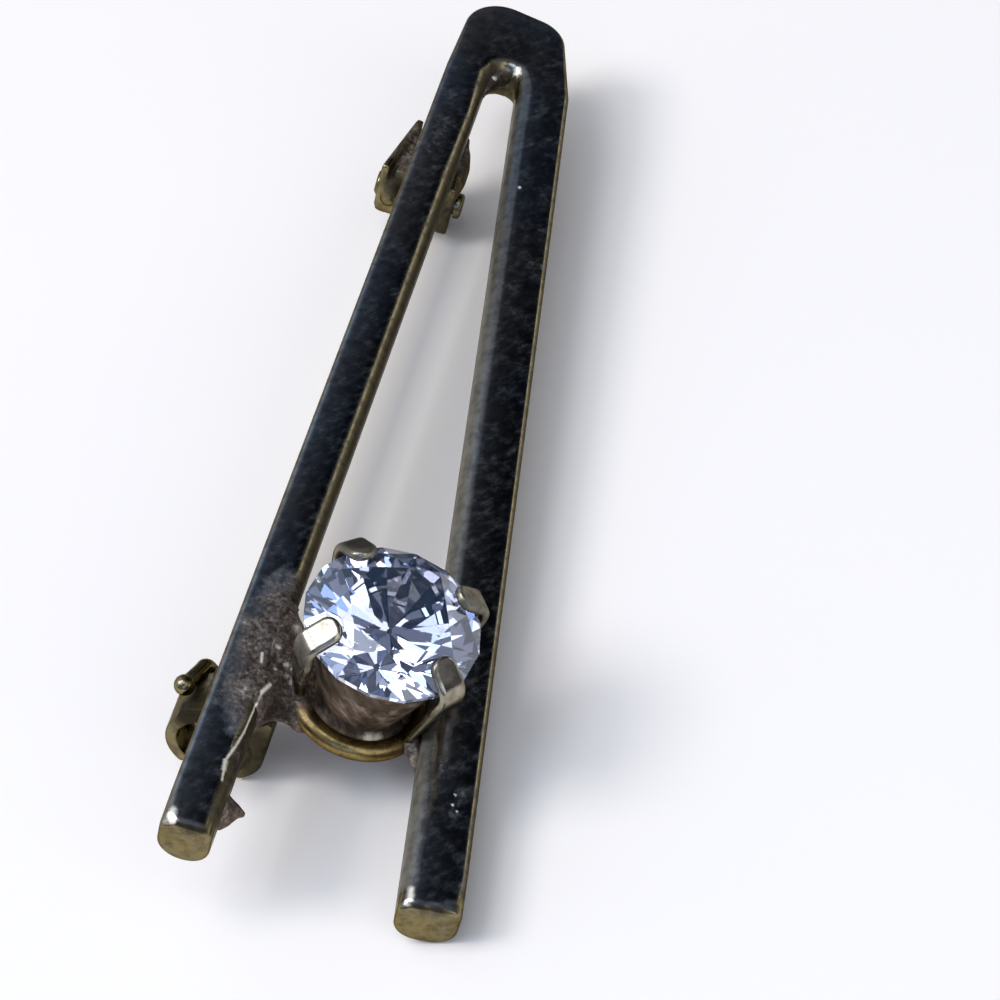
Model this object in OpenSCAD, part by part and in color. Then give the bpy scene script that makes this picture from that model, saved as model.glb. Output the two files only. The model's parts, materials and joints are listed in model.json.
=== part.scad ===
// Bar brooch: one length of flat-fronted wire bent to a narrow V, a claw-set round stone between
// the legs, and a riveted pin with a roll-over safety catch behind the left leg.
// The brooch is drawn in its own plane: the left leg runs along +Y from its end at Y = 0, the front
// of the bar is at Z = 0 and the back faces -Z. It is then laid down as it rests on a table: on its
// hinge, its catch and the end of the right leg.

/* [Bar] */
// Width of the left leg
left_w = 1.77; // [1.6:0.01:2]
// Width of the right leg
right_w = 2.1; // [1.9:0.01:2.3]
// Thickness of the bar from front to back
bar_t = 2.1; // [1.9:0.05:2.4]
// Distance between the middles of the two legs at their ends
leg_spread = 8.25; // [8:0.05:8.6]
// Angle between the two legs
leg_angle = 7.6; // [7.2:0.1:8]
// How far the end of the right leg lies beyond the end of the left one
right_extra = 0.23; // [0:0.01:0.5]
// Radius of the front edges, apart from the left leg's inner one
front_r = 0.26; // [0.15:0.01:0.4]
// Radius of the left leg's inner front edge, which is polished away more
inner_front_r = 0.42; // [0.2:0.01:0.5]
// Radius of the back edges, which makes the back nearly half-round
back_r = 0.85; // [0.7:0.05:0.85]

/* [Setting] */
// Distance of the base ring's middle from the middle of the left leg
ring_x = 3.92; // [3.8:0.02:4]
// Distance of the base ring's middle from the end of the left leg
ring_y = 7.64; // [7:0.02:9]
// Depth of the base ring's middle behind the front of the bar
ring_depth = 1.05; // [0.8:0.05:1.3]
// Radius of the base ring at the middle of its wire
ring_r = 2.2; // [2.1:0.05:2.3]
// Radius of the base ring's wire
ring_wire_r = 0.36; // [0.3:0.02:0.45]
// Height of the stone's girdle above the base ring
girdle_h = 4.38; // [4.2:0.02:4.6]
// Lean of the setting towards the right leg
setting_lean = 5; // [0:0.5:6]
// Width of the claws, which are flat straps
claw_w = 1.1; // [0.9:0.05:1.2]
// Thickness of the claws
claw_t = 0.36; // [0.32:0.02:0.4]

/* [Stone] */
// Diameter of the stone at its girdle
stone_d = 6; // [5.8:0.05:6.1]
// Width of the table as a share of the diameter
table_share = 0.58; // [0.53:0.01:0.64]
// Angle of the crown's main facets to the girdle
crown_angle = 34; // [30:1:38]
// Angle of the pavilion's main facets to the girdle
pavilion_angle = 41; // [39:0.5:43]
// Thickness of the girdle
girdle_t = 0.16; // [0.1:0.02:0.24]

/* [Pin] */
// Depth of the pin's axis behind the front of the bar
pin_depth = 3.75; // [3.65:0.05:3.9]
// How far the pin lies to the outer side of the left leg's middle
pin_offset = 0.38; // [0.2:0.02:0.5]
// Radius of the pin wire
pin_r = 0.375; // [0.3:0.025:0.4]
// Distance of the pin's tip from the end of the left leg
tip_y = 4.3; // [4:0.1:5]
// Length of the pin's tapered tip
taper_l = 1.6; // [1:0.1:3]
// Widest angle to which the pin opens
pin_open = 100; // [60:5:110]

/* [Hinge] */
// Distance of the hinge rivet from the end of the left leg
rivet_y = 33.9; // [33:0.1:34.4]
// Radius of the rivet's shank
rivet_r = 0.4; // [0.3:0.05:0.45]
// Radius of the rivet's heads
rivet_head_r = 0.52; // [0.48:0.02:0.6]
// Half of the distance between the ears' outer faces at the rivet
ear_reach = 1.42; // [1.4:0.02:1.5]
// Thickness of the ears
ear_t = 0.5; // [0.4:0.05:0.55]
// Angle at which the outer ear splays towards the catch
outer_splay = 12; // [8:1:12]
// Angle at which the inner ear splays towards the catch
inner_splay = 3; // [2:1:6]
// Width of the pin's eye between the ears
eye_w = 1.2; // [1:0.05:1.25]
// Radius of the pin's eye
eye_r = 0.95; // [0.85:0.05:1]

/* [Catch] */
// Distance of the catch's near end from the end of the left leg
catch_y = 5.6; // [5.4:0.1:6]
// Length of the catch's shell along the pin
catch_l = 2; // [1.9:0.05:2.1]
// Outer radius of the catch's shell
shell_r = 1.75; // [1.7:0.05:1.8]
// Thickness of the shell's wall
shell_t = 0.42; // [0.36:0.02:0.46]
// Half of the angle of the shell's mouth
mouth_half = 35; // [30:1:40]
// Angle at which the open lever stands, from the inner side of the leg
lever_at = 132; // [128:2:140]
// Radius of the lever's ball
ball_r = 0.42; // [0.36:0.02:0.44]

/* [Hidden] */
$fn = 48;

// Hidden overlap of shapes that are one piece of metal
join = 0.05;
// Gap between the stone and the claws, and between fixed pieces
seat_gap = 0.05;
// Running clearance of the rivet in the pin's eye
eye_clearance = 0.05;
// Clearance of the rivet's shank in the ears
ear_clearance = 0.02;
// Clearance of the lever's sleeve in the shell
sleeve_clearance = 0.08;

// The bend at the top, as the middles and radii of its rounded corners
BEND = [
    // x, y, radius
    [0.77, 40.6, 1.54],
    [1.98, 40.5, 1.46]
];
// Distance along each leg at which the bend begins
left_run = 37.95;
right_run = 38.4;
// Middle and radius of the crotch between the legs
crotch = [1.5, 37.95];
crotch_r = 0.6;
// Bevel round the legs' cut ends
end_bevel = 0.2;
// How far the findings' feet reach into the bar's round back
foot_in = 0.3;
// Where the claws stand round the setting, from the inner side of the left leg towards the bend
CLAW_TURNS = [37, 133, 222, 321];
// Outline of the solder web between the left leg and the base ring
WEB = [
    // x, y
    [0.7, 5.2],
    [2.5, 5.72],
    [2.5, 9.45],
    [0.7, 10]
];
// Round bites out of the web's two ends
WEB_BITES = [
    // x, y, radius
    [1.68, 5.16, 0.7],
    [1.66, 9.98, 0.7]
];
// The web's profile across the leg: it slopes from the leg's front down to the ring
WEB_PROFILE = [
    // x, z
    [0.7, -1.72],
    [2.5, -1.6],
    [2.5, -0.95],
    [1.7, -0.55],
    [0.95, -0.16],
    [0.7, -0.12]
];
// Outline of the solder below the ring at the right leg, and the depths between which it lies
FILLET = [
    // x, y
    [5.6, 6.1],
    [5.95, 5.92],
    [6.25, 5.7],
    [6.42, 5.35],
    [6.5, 4.85],
    [6.85, 4.85],
    [6.55, 7.2]
];
FILLET_DEPTHS = [-0.65, -1.65];
// Steps in a rounded corner of the bar's section, and in a corner of the bend
arc_steps = 4;
bend_steps = 4;

// The stone's measures
stone_r = stone_d / 2;
table_r = stone_r * table_share;

// The pin and its findings
pin_x = -pin_offset;
pin_z = -pin_depth;
shell_in = shell_r - shell_t;
sleeve_r = shell_in - sleeve_clearance;
sleeve_t = 0.33;
sleeve_mouth = mouth_half + 5;
arm_r = 0.22;
arm_gap = 0.1;
arm_reach = shell_r + arm_r + arm_gap;
arm_y = catch_l + arm_r + arm_gap;
ball_reach = shell_r + ball_r + arm_gap;
ball_y = 1;

// How the brooch lies: it rolls about the catch until the right leg's end touches the table
rest_a = pin_z + bar_t - back_r;
rest_b = leg_spread + right_w / 2 - back_r - pin_x;
rest_roll = atan2(rest_b, rest_a) - acos((shell_r - back_r) / norm([rest_a, rest_b]));
floor_z = pin_z * cos(rest_roll) - pin_x * sin(rest_roll) - shell_r;
// The ears are as deep as it takes to touch the same table
ear_x = pin_x + ear_reach / cos(inner_splay);
ear_r = pin_z - (floor_z + ear_x * sin(rest_roll)) / cos(rest_roll);

// Middle of the space that the laid brooch takes
right_x = (leg_spread + right_w / 2) * cos(rest_roll);
outer_lobe = ear_r * norm([tan(outer_splay) * cos(rest_roll), sin(rest_roll)]);
left_x = (pin_x - ear_reach / cos(outer_splay)) * cos(rest_roll) + pin_z * sin(rest_roll) - outer_lobe;
top_y = BEND[0][1] + BEND[0][2];
low_y = -right_extra - sin(leg_angle) * right_w / 2;
mid = [(right_x + left_x) / 2, (top_y + low_y) / 2, floor_z];

// Lays the drawn brooch on the table, with the middle of its base at the origin
module laid() {
    translate(-mid) rotate([0, rest_roll, 0]) children();
}

// Angle of the outward normal of the edge that touches two corners of the bend
function edge_normal(a, b) =
    let (step = [b[0] - a[0], b[1] - a[1]])
    90 + atan2(step[1], step[0]) + asin((b[2] - a[2]) / norm(step));

// A point on the right leg, given along and across it
function right_point(along, across) = [
    leg_spread - along * sin(leg_angle) + across * cos(leg_angle),
    -right_extra + along * cos(leg_angle) + across * sin(leg_angle)
];

// A quarter of a round corner of the bar's section, as [across, depth]
function corner_arc(middle, r, from) = [
    for (i = [0:arc_steps]) middle + r * [cos(from + i * 90 / arc_steps), sin(from + i * 90 / arc_steps)]
];

// Section of the bar from its outer to its inner side, as [across, depth]. Across runs from 0 at the
// outer side to w at the inner one, and shrink draws the whole outline in.
function bar_section(w, inner_r, shrink) =
    let (lo = shrink, hi = w - shrink, top = -shrink, bottom = -bar_t + shrink)
    let (inner = tighter(inner_r, shrink), outer = tighter(front_r, shrink), back = tighter(back_r, shrink))
    concat(
        corner_arc([hi - inner, top - inner], inner, 0),
        corner_arc([lo + outer, top - outer], outer, 90),
        corner_arc([lo + back, bottom + back], back, 180),
        corner_arc([hi - back, bottom + back], back, 270)
    );

// Radius of a rounded corner whose outline is drawn in
function tighter(r, shrink) = max(r - shrink, 0.05);

// One ring of the bar's shell between an outer and an inner point of its outline
function bar_ring(outer, inner, inner_r, shrink = 0) =
    let (w = norm(inner - outer), way = (inner - outer) / w)
    [for (p = bar_section(w, inner_r, shrink)) [outer[0] + p[0] * way[0], outer[1] + p[0] * way[1], p[1]]];

// The bend's rings: the outer side follows the rounded corners, the inner one the crotch
function bend_rings(corners) = [
    for (k = [1:len(corners) - 2])
        let (first = edge_normal(corners[k - 1], corners[k]), last = edge_normal(corners[k], corners[k + 1]))
        for (i = [0:bend_steps])
            let (n = first + (last - first) * i / bend_steps, way = [cos(n), sin(n)])
            bar_ring([corners[k][0], corners[k][1]] + corners[k][2] * way, crotch + crotch_r * way, front_r)
];

// The bent bar, lofted from the left leg's end over the bend to the right leg's end
module bar() {
    left = left_w / 2;
    right = right_w / 2;
    right_top = right_point(right_run, 0);
    corners = concat([[0, left_run, left]], BEND, [[right_top[0], right_top[1], right]]);
    rings = concat(
        [bar_ring([-left, 0], [left, 0], inner_front_r, end_bevel)],
        [for (y = [end_bevel, left_run - 4, left_run]) bar_ring([-left, y], [left, y], inner_front_r)],
        bend_rings(corners),
        [for (run = [right_run, end_bevel]) bar_ring(right_point(run, right), right_point(run, -right), front_r)],
        [bar_ring(right_point(0, right), right_point(0, -right), front_r, end_bevel)]
    );
    loft(rings);
}

// A closed shell through rings of equally many points, with flat ends
module loft(rings) {
    n = len(rings[0]);
    last = len(rings) - 1;
    polyhedron(
        points = [for (ring = rings) for (p = ring) p],
        faces = concat(
            [[for (i = [n - 1:-1:0]) i]],
            [for (k = [0:last - 1]) for (i = [0:n - 1])
                [k * n + i, k * n + (i + 1) % n, (k + 1) * n + (i + 1) % n, (k + 1) * n + i]],
            [[for (i = [0:n - 1]) last * n + i]]
        )
    );
}

// Puts what is drawn round the base ring's axis in its place between the legs
module in_setting() {
    translate([ring_x, ring_y, -ring_depth]) rotate([0, setting_lean, 0]) children();
}

// The room that the stone takes, with the seat gap round it
module stone_room() {
    r = stone_r + seat_gap;
    half = girdle_t / 2 + seat_gap;
    cone_up = r * tan(crown_angle);
    cone_down = r * tan(pavilion_angle);
    translate([0, 0, girdle_h]) {
        translate([0, 0, -half]) cylinder(h = 2 * half, r = r);
        translate([0, 0, half]) cylinder(h = cone_up, r1 = r, r2 = 0);
        translate([0, 0, -half - cone_down]) cylinder(h = cone_down, r1 = 0, r2 = r);
    }
}

// One claw: a flat strap that leans outwards from the base ring and is bent flat over the crown.
// Its profile is drawn as [out, up] from the ring's middle.
module claw() {
    foot_r = 2.2;
    shoulder_r = stone_r + seat_gap + claw_t / 2 + 0.03;
    tip_run = 0.85;
    half = claw_t / 2;
    over = [-cos(crown_angle), sin(crown_angle)];
    lift = [sin(crown_angle), cos(crown_angle)];
    knee = [shoulder_r - 0.1, girdle_h + 0.2];
    top = [stone_r, girdle_h + girdle_t / 2] + (seat_gap + claw_t) * lift;
    rotate([90, 0, 0]) linear_extrude(claw_w, center = true) polygon([
        [foot_r - half, 0],
        [foot_r + half, 0],
        [shoulder_r + half, girdle_h - 0.1],
        knee + [half, 0],
        top,
        top + (tip_run - 0.1) * over,
        top + tip_run * over - 0.12 * lift,
        top + tip_run * over - (claw_t + seat_gap) * lift,
        [stone_r - 0.2, girdle_h + 0.05],
        [shoulder_r - half, girdle_h - 0.2]
    ]);
}

// The setting: base ring, claws and the cup under the stone
module setting() {
    cup_foot_r = 1.6;
    cup_foot_h = 0.2;
    cup_top_h = girdle_h - girdle_t / 2 - 0.3;
    cup_top_r = stone_r - 0.28;
    in_setting() {
        rotate_extrude() translate([ring_r, 0]) circle(ring_wire_r);
        translate([0, 0, -cup_foot_h]) cylinder(h = 2 * cup_foot_h, r = ring_r);
        difference() {
            union() {
                translate([0, 0, cup_foot_h - join])
                    cylinder(h = cup_top_h - cup_foot_h, r1 = cup_foot_r, r2 = cup_top_r);
                for (turn = CLAW_TURNS) rotate([0, 0, turn]) claw();
            }
            stone_room();
        }
    }
}

// Solder that joins the setting to both legs, and a stray nib near the left leg's end
module solder() {
    nib_y = 1.75;
    nib_h = 0.72;
    nib_foot_r = 0.6;
    nib_tip_r = 0.14;
    intersection() {
        translate([0, 0, -bar_t]) linear_extrude(bar_t) difference() {
            polygon(WEB);
            for (bite = WEB_BITES) translate([bite[0], bite[1]]) circle(bite[2]);
        }
        translate([0, WEB[3][1], 0]) rotate([90, 0, 0]) linear_extrude(WEB[3][1]) polygon(WEB_PROFILE);
    }
    translate([0, 0, FILLET_DEPTHS[1]]) linear_extrude(FILLET_DEPTHS[0] - FILLET_DEPTHS[1]) polygon(FILLET);
    translate([left_w / 2 - 0.2, nib_y, -0.6 * bar_t]) rotate([0, 90, 0])
        cylinder(h = nib_h, r1 = nib_foot_r, r2 = nib_tip_r);
}

// Outline of one ear: a round lobe at the rivet that runs up to a long foot on the bar.
// Drawn with the bar's length along X and its depth along Y, and the rivet at the origin.
module ear_outline() {
    side = 0.96 * ear_r;
    foot_run = 2;
    foot_z = pin_depth - bar_t + foot_in - join;
    circle(ear_r);
    polygon([[-side, 0], [side, 0], [foot_run, foot_z], [-side, foot_z]]);
}

// One ear, on the inner side of the pin where side is 1 and on the outer side where it is -1
module ear(side, splay) {
    rotate([0, 0, side * splay]) translate([side * (ear_reach - ear_t / 2), 0, 0])
        rotate([90, 0, 90]) linear_extrude(ear_t, center = true) ear_outline();
}

// The hinge bracket: two splayed ears on a plate behind the left leg
module hinge_bracket() {
    plate_t = 0.42;
    plate_z = pin_depth - bar_t - plate_t;
    translate([pin_x, rivet_y, pin_z]) difference() {
        union() {
            ear(-1, outer_splay);
            ear(1, inner_splay);
            translate([0, 0, plate_z]) linear_extrude(plate_t + foot_in)
                polygon([[-1.45, -1.2], [1.4, -1.2], [1.25, 1.9], [-0.9, 1.9]]);
        }
        rotate([0, 90, 0]) cylinder(h = 4 * ear_reach, r = rivet_r + ear_clearance, center = true);
    }
}

// The catch's shell: a rolled wall open at the back, on solder that fills the corner between it and
// the left leg's inner side, with a short lug beside the outer side
module catch_shell() {
    lug_l = 0.45;
    pad_top = pin_depth - bar_t + foot_in;
    // As [across, depth] round the pin's axis
    pad = [[-0.7, 1], [-0.7, pad_top], [1.3, pad_top], [1.55, 2.2], [1.8, 2.1], [1.74, 1], [1.5, 0.3]];
    lug = [[-1.6, 0.6], [-1.5, 1.4], [-1.38, 1.75], [-0.7, pad_top], [-0.7, 1]];
    translate([pin_x, catch_y, pin_z]) {
        mouthed_tube(shell_r, shell_in, catch_l, mouth_half);
        difference() {
            translate([0, catch_l, 0]) rotate([90, 0, 0]) {
                linear_extrude(catch_l) polygon(pad);
                translate([0, 0, catch_l - lug_l]) linear_extrude(lug_l) polygon(lug);
            }
            rotate([-90, 0, 0]) cylinder(h = catch_l, r = shell_in + join);
        }
    }
}

// A tube along +Y with a mouth that faces -Z
module mouthed_tube(outer, inner, run, half_mouth) {
    translate([0, run, 0]) rotate([90, 0, 0]) rotate([0, 0, half_mouth - 90])
        rotate_extrude(angle = 360 - 2 * half_mouth) translate([inner, 0]) square([outer - inner, run]);
}

// The bar, the setting and the findings, soldered to one piece of metal
module brooch_frame() {
    color("darkgoldenrod") laid() {
        bar();
        setting();
        solder();
        hinge_bracket();
        catch_shell();
    }
}

// A ring of the stone's corners
function stone_ring(count, first, r, z) = [
    for (i = [0:count - 1]) [r * cos(first + i * 360 / count), r * sin(first + i * 360 / count), z]
];

// The round brilliant: table, 8 stars, 8 kites and 16 upper facets on the crown, a girdle of 16
// faces, and 16 lower facets and 8 kites down to the culet. The corners between two kites lie on
// both of their planes, so that every kite is flat.
module brilliant() {
    n = 8;
    step = 360 / n;
    half = girdle_t / 2;
    star_r = (table_r + stone_r) / 2;
    tip_r = 0.24 * stone_r;
    top_z = half + (stone_r - table_r) * tan(crown_angle);
    star_z = half + (stone_r - star_r * cos(step / 2)) * tan(crown_angle);
    tip_z = -half - (stone_r - tip_r * cos(step / 2)) * tan(pavilion_angle);
    culet_z = -half - stone_r * tan(pavilion_angle);
    table = 0;
    star = table + n;
    upper = star + n;
    lower = upper + 2 * n;
    tip = lower + 2 * n;
    culet = tip + n;
    polyhedron(
        points = concat(
            stone_ring(n, 0, table_r, top_z),
            stone_ring(n, step / 2, star_r, star_z),
            stone_ring(2 * n, 0, stone_r, half),
            stone_ring(2 * n, 0, stone_r, -half),
            stone_ring(n, step / 2, tip_r, tip_z),
            [[0, 0, culet_z]]
        ),
        faces = concat(
            [[for (i = [n - 1:-1:0]) table + i]],
            [for (i = [0:n - 1]) let (j = (i + 1) % n) [table + i, table + j, star + i]],
            [for (i = [0:n - 1]) let (h = (i + n - 1) % n) [table + i, star + i, upper + 2 * i, star + h]],
            [for (i = [0:n - 1]) [star + i, upper + 2 * i + 1, upper + 2 * i]],
            [for (i = [0:n - 1]) [star + i, upper + (2 * i + 2) % (2 * n), upper + 2 * i + 1]],
            [for (i = [0:2 * n - 1]) let (j = (i + 1) % (2 * n)) [upper + i, upper + j, lower + j, lower + i]],
            [for (i = [0:n - 1]) [lower + 2 * i, lower + 2 * i + 1, tip + i]],
            [for (i = [0:n - 1]) [lower + 2 * i + 1, lower + (2 * i + 2) % (2 * n), tip + i]],
            [for (i = [0:n - 1]) let (h = (i + n - 1) % n) [lower + 2 * i, tip + i, culet, tip + h]]
        )
    );
}

module stone() {
    color("lightsteelblue") laid() in_setting() translate([0, 0, girdle_h]) brilliant();
}

// The rivet through both ears, with its larger head on the inner side
module hinge_rivet() {
    inner_head = 0.3;
    outer_head = 0.2;
    inner_end = head_seat(inner_splay);
    outer_end = head_seat(outer_splay);
    color("darkgoldenrod") laid() translate([pin_x, rivet_y, pin_z]) rotate([0, 90, 0]) {
        translate([0, 0, -outer_end]) cylinder(h = outer_end + inner_end, r = rivet_r);
        translate([0, 0, inner_end]) cylinder(h = inner_head, r = rivet_head_r);
        translate([0, 0, -outer_end - outer_head]) cylinder(h = outer_head, r = rivet_head_r);
    }
}

// Distance from the pin's axis at which a rivet head clears a splayed ear
function head_seat(splay) = ear_reach / cos(splay) + rivet_head_r * tan(splay) + seat_gap;

// The pin: an eye on the rivet and a straight stem with a tapered tip inside the catch
module pin_stem() {
    stem_l = rivet_y - tip_y - taper_l;
    tip_r = 0.06;
    color("tan") laid() translate([pin_x, rivet_y, pin_z]) difference() {
        union() {
            rotate([0, 90, 0]) cylinder(h = eye_w, r = eye_r, center = true);
            rotate([90, 0, 0]) cylinder(h = stem_l, r = pin_r);
            translate([0, -stem_l, 0]) rotate([90, 0, 0]) cylinder(h = taper_l, r1 = pin_r, r2 = tip_r);
        }
        rotate([0, 90, 0]) cylinder(h = 2 * eye_w, r = rivet_r + eye_clearance, center = true);
    }
}

// The catch's lever: a sleeve that turns in the shell, with a bent arm that ends in a ball
module catch_lever() {
    near = 1;
    root_r = sleeve_r - sleeve_t / 2;
    run = arm_y + arm_r - near;
    lean = atan2(ball_reach - arm_reach, arm_y - ball_y);
    color("darkgoldenrod") laid() translate([pin_x, catch_y, pin_z]) {
        translate([0, near, 0]) mouthed_tube(sleeve_r, sleeve_r - sleeve_t, run, sleeve_mouth);
        rotate([0, -lever_at, 0]) {
            translate([root_r, arm_y, 0]) rotate([0, 90, 0]) cylinder(h = arm_reach - root_r, r = arm_r);
            translate([arm_reach, arm_y, 0]) sphere(arm_r);
            translate([arm_reach, arm_y, 0]) rotate([90, 0, lean]) cylinder(h = arm_y - ball_y, r = arm_r);
            translate([ball_reach, ball_y, 0]) sphere(ball_r);
        }
    }
}

brooch_frame();
stone();
hinge_rivet();
pin_stem();
catch_lever();
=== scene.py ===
"""The looks of a bar brooch: a bent bar, a claw-set stone, and a riveted pin with a safety catch.

Shapes are drawn in the brooch's own plane in millimetres, where the left leg runs along +Y from
its cut end at Y = 0, the front of the bar is at Z = 0 and the back faces -Z. A Placement carries
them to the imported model, in which the brooch lies on a table.
"""

import json
import logging
import math
from collections.abc import Callable, Mapping, Sequence
from dataclasses import dataclass
from enum import Enum
from functools import partial

import bmesh
import bpy
import numpy as np
from mathutils import Matrix, Vector


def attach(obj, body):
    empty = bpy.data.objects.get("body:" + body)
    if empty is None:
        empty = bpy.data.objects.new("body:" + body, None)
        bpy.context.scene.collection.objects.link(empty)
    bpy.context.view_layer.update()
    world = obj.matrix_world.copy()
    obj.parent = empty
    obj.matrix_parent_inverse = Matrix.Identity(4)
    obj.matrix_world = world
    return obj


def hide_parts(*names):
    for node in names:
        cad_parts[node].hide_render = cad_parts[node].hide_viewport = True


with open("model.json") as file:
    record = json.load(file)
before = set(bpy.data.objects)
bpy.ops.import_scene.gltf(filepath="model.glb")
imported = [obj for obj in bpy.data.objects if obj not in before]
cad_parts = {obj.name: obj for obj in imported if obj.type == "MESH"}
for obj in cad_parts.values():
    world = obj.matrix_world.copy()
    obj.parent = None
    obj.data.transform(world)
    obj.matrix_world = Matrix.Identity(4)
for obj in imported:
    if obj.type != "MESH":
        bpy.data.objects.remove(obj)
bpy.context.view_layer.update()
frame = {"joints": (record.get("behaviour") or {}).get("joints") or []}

LOG = logging.getLogger("bar_brooch")
MM = 0.001

Point = Sequence[float]
Pair = tuple[float, float]
Triple = tuple[float, float, float]
Quad = tuple[float, float, float, float]
Mesh = bpy.types.Mesh
Material = bpy.types.Material
Socket = bpy.types.NodeSocket


class Slot(Enum):
    """The material slots of the record."""

    GOLD = "gold_tone_metal"
    STONE = "cut_stone"
    PIN = "pin_wire"


class Body(Enum):
    """The bodies that pieces ride on."""

    ROOT = "root"
    PIN = "pin"
    LEVER = "lever"


def unit(vector: Point) -> np.ndarray:
    """Returns the vector at length one."""
    out = np.asarray(vector, float)
    return out / np.linalg.norm(out)


def smooth_step(value: np.ndarray, low: float, high: float) -> np.ndarray:
    """Rises smoothly from 0 at low to 1 at high."""
    t = np.clip((value - low) / (high - low), 0, 1)
    return t * t * (3 - 2 * t)


def linear(code: str) -> Quad:
    """Turns an sRGB hex colour into Blender's linear one.

    Args:
        code: The colour as "#rrggbb".

    Returns:
        Red, green, blue and an alpha of 1.
    """
    parts = [int(code[i:i + 2], 16) / 255 for i in (1, 3, 5)]
    red, green, blue = (p / 12.92 if p <= 0.04045 else ((p + 0.055) / 1.055) ** 2.4 for p in parts)
    return red, green, blue, 1.0


@dataclass(frozen=True)
class Placement:
    """Where the brooch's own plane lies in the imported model, read from the pin's hinge."""

    hinge: Triple = (-0.38, 33.9, -3.75)
    joint: str = "pin_swing"

    def matrix(self) -> Matrix:
        """Returns the matrix from the plane's millimetres to the model's metres."""
        swing = next(j for j in frame["joints"] if j["name"] == self.joint)
        roll = math.atan2(-swing["axis"][2], swing["axis"][0])
        turn = Matrix.Rotation(roll, 4, "Y") @ Matrix.Scale(MM, 4)
        return Matrix.Translation(swing["pos_m"]) @ turn @ Matrix.Translation(-Vector(self.hinge))


PLACE = Placement().matrix()


@dataclass
class Shape:
    """Points in millimetres, and the faces between them."""

    points: np.ndarray
    faces: list[tuple[int, ...]]

    def moved(self, by: Matrix) -> "Shape":
        """Returns the shape carried by a matrix."""
        m = np.array(by)
        return Shape(self.points @ m[:3, :3].T + m[:3, 3], list(self.faces))

    def with_shape(self, other: "Shape") -> "Shape":
        """Returns both shapes as one, without joining their faces."""
        start = len(self.points)
        faces = self.faces + [tuple(i + start for i in face) for face in other.faces]
        return Shape(np.vstack([self.points, other.points]), faces)

    def mesh(self, name: str) -> Mesh:
        """Returns a Blender mesh of the shape, still in millimetres."""
        mesh = bpy.data.meshes.new(name)
        mesh.from_pydata(self.points.tolist(), [], self.faces)
        mesh.validate()
        return mesh


def together(shapes: Sequence[Shape]) -> Shape:
    """Returns several shapes as one."""
    whole = shapes[0]
    for shape in shapes[1:]:
        whole = whole.with_shape(shape)
    return whole


def loft(rings: Sequence[np.ndarray], ends: bool = True, around: bool = False) -> Shape:
    """Closes a skin over rings of equally many points.

    Args:
        rings: The rings in order.
        ends: Whether the first and the last ring are closed by a fan to their middle.
        around: Whether the last ring is joined to the first one.

    Returns:
        The closed shape.
    """
    n, count = len(rings[0]), len(rings)
    points = [np.vstack(rings)]
    faces: list[tuple[int, ...]] = []
    for k in range(count if around else count - 1):
        low, high = k * n, (k + 1) % count * n
        faces += [(low + i, low + (i + 1) % n, high + (i + 1) % n, high + i) for i in range(n)]
    if ends and not around:
        points.append(np.array([rings[0].mean(0), rings[-1].mean(0)]))
        first, last = count * n, count * n + 1
        top = (count - 1) * n
        faces += [((i + 1) % n, i, first) for i in range(n)]
        faces += [(top + i, top + (i + 1) % n, last) for i in range(n)]
    return Shape(np.vstack(points), faces)


def swept(path: Sequence[Point], sections: Sequence[np.ndarray], across: Point) -> Shape:
    """Sweeps sections along a path that lies in one plane.

    Args:
        path: Points along the middle.
        sections: The section at each point, as [across, deep].
        across: Direction square to the path's plane.

    Returns:
        The closed shape.
    """
    line = np.asarray(path, float)
    side = unit(across)
    tangent = np.gradient(line, axis=0)
    tangent /= np.linalg.norm(tangent, axis=1)[:, None]
    rings = []
    for at, along, section in zip(line, tangent, sections):
        deep = np.cross(side, along)
        rings.append(at + np.outer(section[:, 0], side) + np.outer(section[:, 1], deep))
    return loft(rings)


def tube(path: Sequence[Point], radii: Sequence[float], across: Point, sides: int = 24,
         dome: int = 6) -> Shape:
    """Sweeps a circle along a path that lies in one plane, and domes both ends.

    Args:
        path: Points along the middle.
        radii: The radius at each point.
        across: Direction square to the path's plane.
        sides: Points round the circle.
        dome: Rings in each domed end.

    Returns:
        The closed shape.
    """
    line = np.asarray(path, float)
    turn = np.linspace(0, 2 * math.pi, sides, endpoint=False)
    circle = np.column_stack([np.cos(turn), np.sin(turn)])
    bends = np.radians(np.linspace(0, 90, dome + 2)[1:-1])
    first, last = unit(line[0] - line[1]), unit(line[-1] - line[-2])
    head = [(line[0] + first * radii[0] * math.sin(a), radii[0] * math.cos(a)) for a in bends[::-1]]
    tail = [(line[-1] + last * radii[-1] * math.sin(a), radii[-1] * math.cos(a)) for a in bends]
    stations = head + list(zip(line, radii)) + tail
    return swept([at for at, _ in stations], [circle * r for _, r in stations], across)


def prism(outline: Sequence[Point], low: float, high: float) -> Shape:
    """Extrudes an outline of [x, y] from one height to another.

    Args:
        outline: The outline's corners.
        low: Height of its lower face.
        high: Height of its upper face.

    Returns:
        The closed shape.
    """
    n = len(outline)
    points = np.array([(x, y, z) for z in (low, high) for x, y in outline])
    faces = [tuple(range(n))[::-1], tuple(range(n, 2 * n))]
    faces += [(i, (i + 1) % n, n + (i + 1) % n, n + i) for i in range(n)]
    return Shape(points, faces)


def ball(middle: Point, radius: float, rows: int = 14) -> Shape:
    """Returns a sphere with closed poles."""
    angles = [k / rows * math.pi for k in range(1, rows)]
    profile = [(radius * math.sin(a), radius * math.cos(a)) for a in angles]
    return lathe(profile, 2 * rows).moved(Matrix.Translation(Vector(middle)))


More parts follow.
